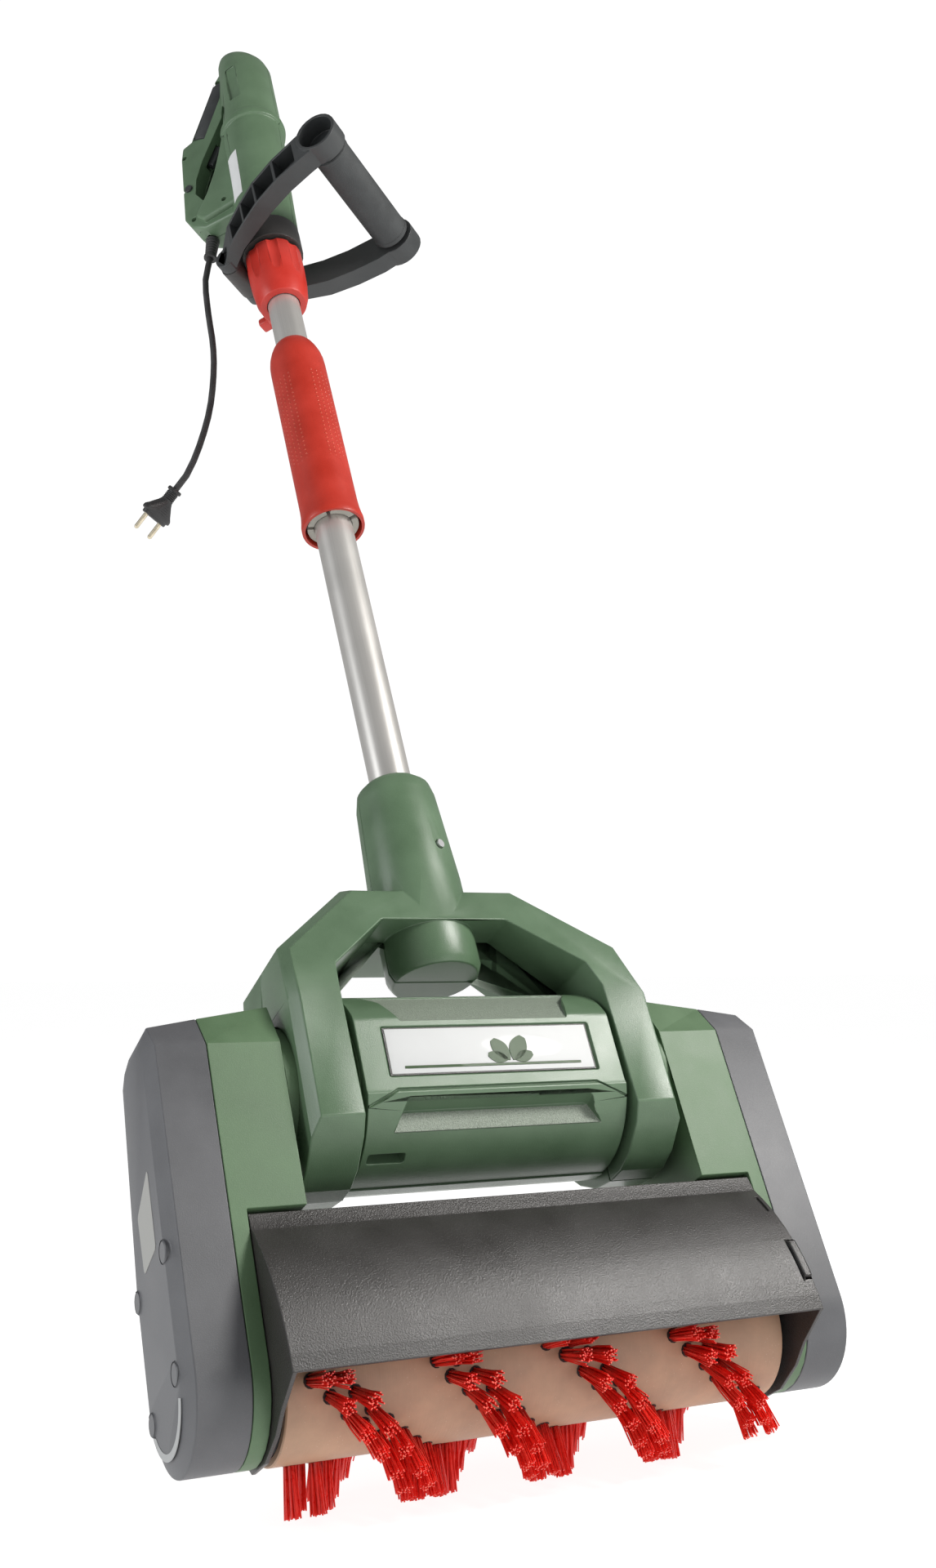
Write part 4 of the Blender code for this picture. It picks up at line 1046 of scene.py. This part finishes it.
@dataclass
class BristleRoller(Assembly):
    """Hollow core with four double spirals of nylon tufts."""

    core_radius: float = 0.0415
    core_half: float = 0.158
    tip_radius: float = 0.0690
    span: float = 0.300
    tufts: int = 28
    row_gap: float = 0.0138
    filaments: int = 30
    sunk: float = 0.0012
    margin: float = 0.012
    golden_turn: float = 2.39996
    seed: int = 7

    def filament(self, root: Flat, tip: Flat, bend: Flat, reach: float, thickness: float) -> Shape:
        """One bent filament of square section, from the core out.

        Args:
            root: Where it leaves the hole, across the tuft.
            tip: Where it ends, across the tuft.
            bend: How far its middle bows.
            reach: Its length outwards.
            thickness: Half its width.

        Returns:
            The filament, standing along Z.
        """
        sections = []
        for share in (0.0, 0.5, 1.0):
            bow = 4 * share * (1 - share)
            x = root[0] + (tip[0] - root[0]) * share + bend[0] * bow
            y = root[1] + (tip[1] - root[1]) * share + bend[1] * bow
            z = self.core_radius - self.sunk + reach * share
            sections.append([(x + thickness * u, y + thickness * v, z)
                             for u, v in ((1, 0.2), (-0.2, 1), (-1, -0.2), (0.2, -1))])
        return Shape.loft(sections)

    def tuft(self, chance: random.Random) -> bpy.types.Mesh:
        """One flared tuft of filaments, standing along Z, with a dark disc at its root as painted shadow.

        Args:
            chance: The source of its small differences.

        Returns:
            The tuft's mesh.
        """
        whole = Shape()
        for number in range(self.filaments):
            away = sqrt((number + 0.5) / self.filaments)
            angle = number * self.golden_turn + chance.uniform(-0.25, 0.25)
            root = (0.0029 * away * cos(angle), 0.0029 * away * sin(angle))
            flare = 0.0046 * away + chance.uniform(-0.0006, 0.0006)
            tip = (flare * cos(angle) + chance.gauss(0, 0.0004), flare * sin(angle) + chance.gauss(0, 0.0004))
            bend = (chance.gauss(0, 0.0003), chance.gauss(0, 0.0003))
            worn = chance.uniform(0.0002, 0.0016) + 0.0004 * away
            reach = self.tip_radius - self.core_radius + self.sunk - worn
            whole.with_(self.filament(root, tip, bend, reach, 0.00050))
        # A dark disc on the core under the tuft: painted shadow at the tuft's root.
        rim = bmesh.new()
        bmesh.ops.create_circle(rim, cap_ends=True, cap_tris=True, segments=12, radius=0.0042,
                                matrix=Matrix.Translation((0, 0, self.core_radius)))
        for vert in rim.verts:
            vert.co.z = sqrt((self.core_radius + 0.00012) ** 2 - vert.co.y ** 2)
        whole.with_(Shape(rim, 1))
        return whole.mesh("tuft")

    def spiral(self, number: int, patterns: Sequence[bpy.types.Mesh], chance: random.Random) -> None:
        """One double row of tufts along its helix.

        Args:
            number: Which of the four spirals.
            patterns: Tuft meshes to choose from.
            chance: The source of the choices and small leanings.
        """
        whole = bmesh.new()
        reach = self.span / 2 - self.margin
        for place in range(self.tufts):
            middle = reach * (2 * place / (self.tufts - 1) - 1)
            turn = -2 * pi * (middle / self.span + number / 4)
            for sign in (-1, 1):
                count = len(whole.verts)
                whole.from_mesh(chance.choice(patterns))
                whole.verts.ensure_lookup_table()
                x = middle + sign * self.row_gap / 2
                out = Matrix.Translation((x, 0, 0)) @ Matrix.Rotation(pi - turn, 4, "X")
                spin = Matrix.Rotation(chance.uniform(-0.35, 0.35), 4, "Z")
                lean = Matrix.Rotation(chance.gauss(0, 0.018), 4, "X")
                lean = lean @ Matrix.Rotation(chance.gauss(0, 0.022), 4, "Y")
                bmesh.ops.transform(whole, verts=whole.verts[count:], matrix=out @ lean @ spin)
        whole.transform(Matrix.Translation((0, 0, BRUSH_Z)))
        node = f"bristle_spiral_{number + 1}"
        settle(f"bristle_tufts_{number + 1}", Shape(whole), [Finish.BRISTLE, Finish.ROOT], self.body_of(node),
               LEAN, [node])

    def build(self) -> None:
        """Makes the core, the spirals, and dresses hubs, shaft and bearings."""
        chance = random.Random(self.seed)
        wall = self.core_radius - 0.004
        profile = [(wall, -self.core_half), (self.core_radius - 0.0008, -self.core_half),
                   (self.core_radius, -self.core_half + 0.0008), (self.core_radius, self.core_half - 0.0008),
                   (self.core_radius - 0.0008, self.core_half), (wall, self.core_half)]
        settle("roller_core", Shape.turned(profile, "X", 96, True), [Finish.CORE], self.body_of("brush_core"),
               LEAN @ Matrix.Translation((0, 0, BRUSH_Z)), ["brush_core"])
        patterns = [self.tuft(chance) for _ in range(5)]
        for number in range(4):
            self.spiral(number, patterns, chance)
        for pattern in patterns:
            bpy.data.meshes.remove(pattern)
        self.dress(Finish.STEEL, "brush_shaft", "brush_bearing_left", "brush_bearing_right", "brush_pulley")
        self.dress(Finish.GRIP, "brush_hub_left", "brush_hub_right")


@dataclass
class MotorHead(Assembly):
    """Motor housing, side housings, end covers, guard and what they hold."""

    radius: float = 0.060
    face: float = 0.054
    half: float = 0.088
    cover_end: float = 0.211

    def groove(self) -> Shape:
        """The narrow parting groove that dips at both ends of the front.

        Returns:
            The cutter.
        """
        stations = ((-0.0870, 60.5), (-0.0675, 69.8), (0.0675, 69.8), (0.0870, 60.5))
        sections = []
        for x, angle in stations:
            reach = 0.0590 if angle < 65 else 0.0573
            outward = Vector((-sin(radians(angle)), -cos(radians(angle))))
            across = Vector((outward.y, -outward.x))
            middle = outward * reach
            sections.append([(x, *(middle + outward * u + across * v))
                             for u, v in ((-0.0012, -0.0007), (0.004, -0.0007), (0.004, 0.0007),
                                          (-0.0012, 0.0007))])
        return Shape.loft(sections)

    def trapezoid(self, rows: Sequence[tuple[float, Flat, Flat]], tint: int) -> Shape:
        """A cutter through rows of (half width, floor, front), each a (y, z) point."""
        return Shape.loft([[(-half, *front), (half, *front), (half, *floor), (-half, *floor)]
                           for half, floor, front in rows], tint)

    def motor(self) -> None:
        """Front shell with its label recess, grooves and textured panels; rear shell with cooling slots."""
        outline = (arc((0, 0), self.radius, 90, 154, 26) + [(-self.face, 0.024), (-self.face, -0.0195)]
                   + arc((0, 0), 0.059, 202, 270, 26) + arc((0, 0), 0.050, 270, 90, 36))
        outline = [p for i, p in enumerate(outline)
                   if hypot(p[0] - outline[i - 1][0], p[1] - outline[i - 1][1]) > 4e-4]
        low = self.trapezoid([(0.0600, (-0.0423, -0.0285), (-0.0700, -0.0195)),
                              (0.0630, (-0.0420, -0.0300), (-0.0700, -0.0235)),
                              (0.0700, (-0.0414, -0.0415), (-0.0700, -0.0560))], 1)
        top = self.trapezoid([(0.0575, (-0.0540, 0.0240), (-0.0800, 0.0300)),
                              (0.0640, (-0.0410, 0.0395), (-0.0700, 0.0700)),
                              (0.0760, (-0.0270, 0.0520), (-0.0400, 0.0800))], 1)
        slot = Shape.block((-0.0840, -0.066, -0.0036), (-0.0600, -0.045, 0.0036)).eased(0.0014)
        slot.set_by(Matrix.Rotation(radians(62), 4, "X"))
        window = Shape.block((-0.0714, -0.0800, -0.0118), (0.0714, -0.0521, 0.0206)).eased(0.0012)
        shape = Shape.slab(outline, CLEARANCE - self.half, self.half - CLEARANCE)
        shape = shape.carved([window, low, top, self.groove(), slot])
        shape.bm.normal_update()
        for face in shape.bm.faces:
            if face.material_index == 1 and (face.normal.z < -0.15 or abs(face.normal.x) > 0.4):
                face.material_index = 0
        settle("motor_front", shape.moved((0, -0.00015, 0)), [Finish.HOUSING, Finish.PANEL], "head",
               LEAN, ["motor_shell_front"], 0.0006)
        vents = []
        for number in range(9):
            x = -0.056 + 0.014 * number
            vents.append(Shape.block((x - 0.0022, 0.0540, -0.016), (x + 0.0022, 0.0700, 0.016)).eased(0.0015))
        self.refine("motor_shell_rear", [Finish.HOUSING], "housing_green", vents, soften=0.0005)

    def label(self) -> None:
        """Glossy plate with a dark bezel and a plain leaf sprig."""
        plate = Shape.block((-0.0690, -0.0533, -0.0098), (0.0690, -0.05265, 0.0193)).eased(0.0003)
        bezel = Shape.block((-0.0700, -0.0529, -0.0107), (0.0700, -0.05255, 0.0202), 2)

        def leaf(length: float, width: float, angle: float, x: float, z: float) -> Shape:
            """One leaf.

            Args:
                length: From stalk to tip.
                width: Half its width.
                angle: Degrees up from X.
                x: Where the stalk is, across the plate.
                z: Where the stalk is, up the plate.

            Returns:
                The leaf, raised from the plate.
            """
            shares = [i / 12 for i in range(12)]
            outline = [(length * share, width * sin(pi * share) ** 0.8) for share in shares]
            outline += [(length * share, -width * sin(pi * share) ** 0.8) for share in reversed(shares[1:])]
            across, up = cos(radians(angle)), sin(radians(angle))
            return Shape.loft([[(x + u * across - v * up, y, z + u * up + v * across) for u, v in outline]
                               for y in (-0.0532, -0.0537)], 1)

        plate.with_(bezel, leaf(0.0200, 0.0058, 58, 0.0130, -0.0035),
                    leaf(0.0185, 0.0052, 124, 0.0110, -0.0035), leaf(0.0150, 0.0038, 16, 0.0140, -0.0030),
                    leaf(0.0150, 0.0038, 164, 0.0100, -0.0030),
                    Shape.block((-0.0600, -0.0537, -0.0066), (0.0600, -0.0532, -0.0050), 1))
        settle("label_plate_printed", plate, [Finish.LABEL, Finish.LEAF, Finish.GUARD], "head",
               LEAN, ["label_plate"], 0.0001)

    def outline(self, rise: float, shrink: float) -> list[Flat]:
        """Side view of an end: chamfered top, straight front, round foot.

        Args:
            rise: How much higher the top is.
            shrink: How far the outline is drawn in.

        Returns:
            The outline's (y, z) corners.
        """
        corners = [(0.043, -0.100), (0.026, 0.022), (0.012, 0.040 + rise), (-0.030, 0.040 + rise),
                   (-0.043, 0.018)]
        corners += arc((0, -0.163), 0.043, 180, 360, 32)
        drawn = []
        for i, here in enumerate(corners):
            point = Vector(here)
            first = (point - Vector(corners[i - 1])).normalized()
            second = (Vector(corners[(i + 1) % len(corners)]) - point).normalized()
            aside = Vector((-first.y - second.y, first.x + second.x))
            drawn.append(tuple(point + aside * (shrink / max(0.2, aside.length_squared / 2))))
        return drawn

    def cover(self, mark: str, side: int) -> None:
        """One end cover with its bevelled rim; the driven end has bored screw bosses.

        Args:
            mark: "left" or "right".
            side: -1 or 1, its side along X.
        """
        def section(x: float, rise: float, shrink: float) -> list[Point]:
            """The outline at a distance from the middle."""
            return [(side * x, y, z) for y, z in self.outline(rise, shrink)]

        shell = Shape.loft([section(0.1760, 0, 0), section(0.2060, -0.005, 0),
                            section(0.2110, -0.005, 0.012)])
        room = Shape.loft([section(0.1700, 0, 0.003), section(0.2050, -0.005, 0.003),
                           section(0.2080, -0.005, 0.013)])
        bosses, pockets = [], []
        if side < 0:
            for y, z in ((-0.030, -0.097), (0.030, -0.105), (-0.026, -0.160), (0.027, -0.172)):
                boss = Shape.turned([(0.0064, -0.1995), (0.0064, -0.2112), (0.0058, -0.2118)], "X", 32)
                bosses.append(boss.moved((0, y, z)))
                pockets.append(Shape.rod(0.0042, -0.2040, -0.2200, "X", 32).moved((0, y, z)))
        settle(f"end_cover_{mark}_shell", shell.carved([room, *pockets], bosses), [Finish.COVER], "head",
               LEAN, [f"end_cover_{mark}"], 0.0008, 3)

    def sides(self) -> None:
        """Side housings and end covers, with the sticker and turning arrow on the driven end."""
        for mark, side in (("left", -1), ("right", 1)):
            self.refine(f"side_housing_{mark}", [Finish.SIDE], "housing_green", soften=0.0006)
            self.cover(mark, side)
        out = -self.cover_end
        sticker = Shape.slab([(-0.0175, -0.0480), (-0.0160, -0.0460), (0.0110, -0.0620), (0.0120, -0.0640),
                              (0.0110, -0.0935), (0.0090, -0.0955), (-0.0150, -0.0905), (-0.0170, -0.0885)],
                             out - 0.00025, out + 0.0002).eased(0.0001, 1)
        settle("cover_sticker", sticker, [Finish.STICKER], "head")
        band = arc((0, -0.165), 0.0315, 195, 335, 40) + arc((0, -0.165), 0.0275, 335, 195, 40)
        arrow = Shape.slab(band, out - 0.00020, out + 0.0002)
        tip = Shape.slab([(0.0235, -0.1800), (0.0345, -0.1745), (0.0300, -0.1640)], out - 0.00020,
                         out + 0.0002)
        settle("turning_arrow", arrow.with_(tip), [Finish.ARROW], "head")

    def guard(self) -> None:
        """Curved guard with its clip tab and the slits beside it."""
        centre = (0.059, -0.178)

        def strip(low: float, high: float, inner: float, outer: float, x0: float, x1: float) -> Shape:
            """A bent strip on the guard's face, between two angles in degrees."""
            return Shape.slab(arc(centre, outer, low, high, 8) + arc(centre, inner, high, low, 8), x0, x1)

        tab = strip(161, 171.5, 0.1330, 0.1352, 0.1600, 0.1650).eased(0.0006)
        near = strip(144, 150, 0.1322, 0.1360, 0.1605, 0.1626)
        beside = strip(160.2, 172.4, 0.1326, 0.1360, 0.1588, 0.1598)
        self.refine("brush_guard", [Finish.GUARD], "guard_black", [near, beside], [tab], 0.0005, crease=20)

    def build(self) -> None:
        """Makes the whole head."""
        self.motor()
        self.label()
        self.sides()
        self.guard()
        self.dress(Finish.STATOR, "motor_stator")
        self.dress(Finish.WINDINGS, "armature")
        self.dress(Finish.GRIP, "cooling_fan")
        self.dress(Finish.BELT, "drive_belt")
        self.dress(Finish.STEEL, "rotor_shaft", "rotor_bearing_left", "rotor_bearing_right", "motor_pulley",
                   *(f"cover_screw_{i}" for i in range(1, 5)))


@dataclass
class ForkAndPole(Assembly):
    """Tilting fork, both tubes, the twist lock and the clamping nut."""

    sleeve: tuple[Flat, ...] = ((0.0247, 0.4760), (0.0250, 0.4772), (0.0250, 0.4815), (0.0244, 0.4850),
                                (0.0236, 0.4920), (0.0233, 0.5000), (0.0232, 0.6540), (0.0229, 0.6600),
                                (0.0219, 0.6660), (0.0201, 0.6720), (0.0180, 0.6770), (0.0162, 0.6800))
    nut: tuple[Flat, ...] = ((0.0188, 0.7340), (0.0202, 0.7344), (0.0226, 0.7420), (0.0240, 0.7550),
                             (0.0248, 0.7700), (0.0250, 0.7930), (0.0244, 0.7940))
    flutes: int = 8

    def build(self) -> None:
        """Makes the fork, the pole and its controls."""
        for mark in ("front", "rear"):
            self.refine(f"fork_{mark}", [Finish.HOUSING], "housing_green", soften=0.0011, segments=3)
        bore = [(0.0157, 0.6800), (0.0157, 0.4970), (0.0215, 0.4965), (0.0225, 0.4760)]
        settle("lock_sleeve_grip", Shape.turned(list(self.sleeve) + bore, "Z", 96, True), [Finish.SLEEVE],
               self.body_of("lock_sleeve"), LEAN, ["lock_sleeve"])
        collet = Shape.turned([(0.0205, 0.4785), (0.0210, 0.4830), (0.0190, 0.4960), (0.0153, 0.4960),
                               (0.0153, 0.4785)], "Z", 64, True)
        slits = []
        for number in range(5):
            slit = Shape.block((0.0150, -0.0014, 0.4780), (0.0230, 0.0014, 0.4900))
            slits.append(slit.set_by(Matrix.Rotation(2 * pi * (number + 0.3) / 5, 4, "Z")))
        settle("tube_collet_slit", collet.carved(slits), [Finish.COLLET], self.body_of("tube_collet"),
               LEAN, ["tube_collet"], 0.0003)
        body = Shape.turned(list(self.nut) + [(0.0144, 0.7940), (0.0144, 0.7340)], "Z", 120, True)
        scoops = []
        for number in range(self.flutes):
            scoop = Shape.turned([(0.0001, 0.7480), (0.0060, 0.7520), (0.0082, 0.7600), (0.0084, 0.7980)],
                                 "Z", 40)
            scoop.moved((0.0314, 0, 0))
            scoops.append(scoop.set_by(Matrix.Rotation(2 * pi * (number + 0.5) / self.flutes, 4, "Z")))
        settle("collar_nut_fluted", body.carved(scoops), [Finish.CONTROL], self.body_of("collar_nut"),
               LEAN, ["collar_nut"], 0.0005)
        for name, radius, wall, low, high in (("lower_tube", 0.0150, 0.0008, 0.112, 0.655),
                                              ("upper_tube", 0.0138, 0.0008, 0.400, 0.862)):
            profile = [(radius - 0.0003, low), (radius, low + 0.0004), (radius, high - 0.0004),
                       (radius - 0.0003, high), (radius - wall, high), (radius - wall, low)]
            settle(f"{name}_drawn", Shape.turned(profile, "Z", 72, True), [Finish.TUBE], self.body_of(name),
                   LEAN, [name])
        self.dress(Finish.STEEL, "socket_screw")


@dataclass
class Handles(Assembly):
    """Rear handle with its loop, grip and controls; front handle on its clamp bolt."""

    gland: Flat = (0.0535, 0.8665)
    gland_run: Flat = (-0.0075, 0.0245)
    grip_top: Flat = (0.0070, 1.0420)
    grip_run: Flat = (0.0345, -0.0585)
    grip_radius: float = 0.0162
    bar_radius: float = 0.0165
    bar_half: float = 0.0545
    bar: Flat = (-0.095, 0.812)
    knob_centre: Flat = (0.0325, 0.797)

    def screw_holes(self) -> list[Shape]:
        """Sunk screw holes on the left shell.

        Returns:
            The cutters.
        """
        holes = []
        for y, z, depth, reach in ((0.0095, 0.9500, -0.0245, 0.040), (0.0040, 0.8985, -0.0245, 0.040),
                                   (0.0600, 0.9700, -0.0110, 0.030), (0.0668, 0.9270, -0.0110, 0.030),
                                   (0.0620, 0.8830, -0.0110, 0.030), (0.0260, 0.8790, -0.0155, 0.040),
                                   (0.0100, 1.0440, -0.0110, 0.040)):
            hole = Shape.turned([(0.0024, depth), (0.0024, depth - 0.0022), (0.0034, -reach)], "X", 20)
            holes.append(hole.moved((0, y, z)))
        return holes

    def strip_label(self) -> None:
        """Blank white strip on the left of the handle."""
        rows = []
        for z, offset, radius in ((0.8640, -0.0022, 0.0271), (0.8800, -0.0030, 0.0270),
                                  (0.9000, -0.0040, 0.02737), (0.9210, -0.0051, 0.02783)):
            outer = arc((0, offset), radius + 0.00025, 168, 138, 8)
            inner = arc((0, offset), radius - 0.0004, 138, 168, 8)
            rows.append([(x, y, z) for x, y in outer + inner])
        settle("handle_strip", Shape.loft(rows), [Finish.LABEL], "upper", HANDLE)

    def body(self) -> Shape:
        """The round handle body with its bead, from rows of (centre y, z, radius, tilt).

        Returns:
            The solid.
        """
        rows = ((0.0, 0.8225, 0.0266, 0), (0.0, 0.8235, 0.0272, 0), (-0.003, 0.880, 0.0270, 0),
                (-0.0068, 0.9580, 0.0284, 0), (-0.0070, 0.9592, 0.0303, 0), (-0.0071, 0.9630, 0.0310, 0),
                (-0.0072, 0.9668, 0.0303, 0), (-0.0075, 0.9680, 0.0280, 0), (-0.0105, 1.020, 0.0262, 0),
                (-0.0125, 1.046, 0.0248, 0.10), (-0.0122, 1.059, 0.0232, 0.30),
                (-0.0118, 1.0645, 0.0212, 0.38), (-0.0115, 1.0685, 0.0180, 0.43),
                (-0.0110, 1.0708, 0.0120, 0.46))
        return Shape.loft([[(r * cos(2 * pi * i / 72), y + r * sin(2 * pi * i / 72),
                             z + r * sin(2 * pi * i / 72) * slope)
                            for i in range(72)] for y, z, r, slope in rows])

    def plate(self, outline: Sequence[Flat], half: float, lead: float) -> Shape:
        """An outline in (y, z) given thickness along X, with its rims eased."""
        return Shape.slab(outline, -half, half).eased(lead, 3, 60)

    def left_face(self) -> Matrix:
        """From axes at the round body's middle, facing the handle's left, to the handle's."""
        return Matrix.Translation((0, -0.0108, 0)) @ Matrix.Rotation(radians(-3), 4, "Z")

    def cavities(self) -> list[Shape]:
        """Finger gap, grip seat, trigger room, button bore, cord way, screw holes, recess and seam.

        Returns:
            The cutters.
        """
        gap = Shape.slab(((0.0080, 1.001), (0.0260, 0.975), (0.0420, 0.952), (0.0520, 0.932), (0.0555, 0.914),
                          (0.0490, 0.900), (0.0315, 0.9225), (0.0235, 0.9425), (0.0145, 0.9685),
                          (0.0050, 0.990)), -0.03, 0.03)
        seat = Shape.rod(self.bar_radius, -CLEARANCE, hypot(*self.grip_run) + CLEARANCE, "Z", 48)
        room = Shape.slab([(0.0290, 0.9737), (0.0485, 0.9800), (0.0500, 0.9520), (0.0372, 0.9495),
                           (0.0296, 0.9570), (0.0240, 0.9690)], -0.0076, 0.0076)
        button = Shape.rod(0.0043, -0.0200, -0.0060, "X", 24).moved((0, 0.0612, 0.925))
        cord_way = Shape.rod(0.0050, -0.010, 0.006, "Z", 32).set_by(aimed(self.gland, self.gland_run))
        recess = Shape.block((-0.040, -0.0055, 0.9900), (-0.0240, 0.0055, 1.0380)).eased(0.0012)
        seam = Shape.block((-0.00014, -0.060, 0.80), (0.00014, 0.100, 1.12))
        return [gap, seat.set_by(aimed(self.grip_top, self.grip_run)), room, button, cord_way,
                *self.screw_holes(), recess.set_by(self.left_face()), seam]

    def shells(self) -> None:
        """Both handle shells as one moulding with a seam, and the latch on their left."""
        loop = ((-0.004, 1.056), (0.006, 1.055), (0.0155, 1.045), (0.0500, 0.9860), (0.0605, 0.9840),
                (0.0640, 0.9700), (0.0718, 0.8900), (0.0652, 0.8740), (0.0525, 0.8635), (0.020, 0.8600),
                (-0.004, 0.8600))
        leg = ((-0.004, 0.984), (0.006, 0.984), (0.014, 0.968), (0.023, 0.942), (0.031, 0.922),
               (0.043, 0.900), (0.058, 0.880), (0.050, 0.869), (-0.004, 0.869))
        gland = Shape.turned([(0.0105, 0), (0.0120, 0.0006), (0.0125, 0.0020), (0.0125, 0.030)], "Z", 40)
        gland.set_by(aimed(self.gland, self.gland_run))
        shell = self.body().carved(self.cavities(), [self.plate(loop, 0.0150, 0.0022),
                                                     self.plate(leg, 0.0200, 0.0028), gland])
        settle("handle_shells", shell, [Finish.HOUSING], "upper", HANDLE,
               ["handle_shell_left", "handle_shell_right"], 0.0005)
        latch = Shape.block((-0.0248, -0.0040, 1.0400), (-0.0200, 0.0040, 1.0470)).eased(0.0006)
        settle("handle_latch", latch.set_by(self.left_face()), [Finish.HOUSING], "upper",
               HANDLE)

    def rear(self) -> None:
        """Handle shells with the closed loop, soft grip, trigger and lock-off button."""
        self.shells()
        length = hypot(*self.grip_run)
        rubber = Shape.turned([(0.0120, 0), (0.0150, 0.0010), (self.grip_radius, 0.0040),
                               (self.grip_radius, length - 0.0040), (0.0150, length - 0.0010),
                               (0.0120, length)], "Z", 56)
        settle("soft_grip_sleeve", rubber.set_by(aimed(self.grip_top, self.grip_run)), [Finish.RUBBER],
               "upper", HANDLE, ["soft_grip"])
        self.refine("trigger", [Finish.GRIP], "grip_grey", soften=0.0006)
        self.refine("lock_button", [Finish.GRIP], "soft_grip", soften=0.0004)
        self.refine("clamp_ring", [Finish.GUARD], "guard_black", soften=0.0004)
        self.dress(Finish.GRIP, "switch_block")
        self.strip_label()

    def knob(self) -> None:
        """Wing knob: a round boss with a rounded blade across it."""
        y, z = self.knob_centre
        boss = Shape.turned([(0.0043, 0.0500), (0.0098, 0.0500), (0.0108, 0.0508), (0.0110, 0.0540),
                             (0.0092, 0.0652), (0.0084, 0.0660), (0.0043, 0.0660)], "X", 48, True)
        blade = Shape.block((0.0525, y - 0.0190, z - 0.0042), (0.0645, y + 0.0190, z + 0.0042))
        bore = Shape.rod(0.0043, 0.0400, 0.0640, "X", 32).moved((0, y, z))
        shape = boss.moved((0, y, z)).carved([bore], [blade.eased(0.0020, 3)])
        settle("wing_knob_bladed", shape, [Finish.CONTROL], self.body_of("wing_knob"), HANDLE,
               ["wing_knob"], 0.0004)

    def front(self) -> None:
        """Ribbed arms, the round bar, the bolt and the wing knob."""
        for mark in ("left", "right"):
            self.refine(f"front_handle_arm_{mark}", [Finish.GRIP], "grip_grey", soften=0.0005, crease=19)
        radius, end = self.bar_radius, -self.bar_half
        profile = [(0.0001, end), (radius - 0.001, end), (radius, end + 0.001), (radius, end + 0.0045),
                   (radius - 0.0005, end + 0.005)]
        mirrored = [(across, -height) for across, height in reversed(profile)]
        settle("front_bar_grip", Shape.turned(profile + mirrored, "X", 72).moved((0, *self.bar)),
               [Finish.RUBBER], self.body_of("front_handle_bar"), HANDLE, ["front_handle_bar"])
        self.knob()
        self.dress(Finish.STEEL, "clamp_bolt")

    def build(self) -> None:
        """Makes both handles."""
        self.rear()
        self.front()


def main() -> None:
    """Loads the frame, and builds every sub-assembly in order."""
    logging.basicConfig(level=logging.INFO, format="%(name)s %(message)s")
    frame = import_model()
    studio = Studio()
    studio.camera()
    for assembly in (Lead(frame), BristleRoller(frame), MotorHead(frame), ForkAndPole(frame), Handles(frame)):
        log.info("building %s", type(assembly).__name__)
        assembly.build()
    studio.light()


if __name__ == "__main__":
    main()
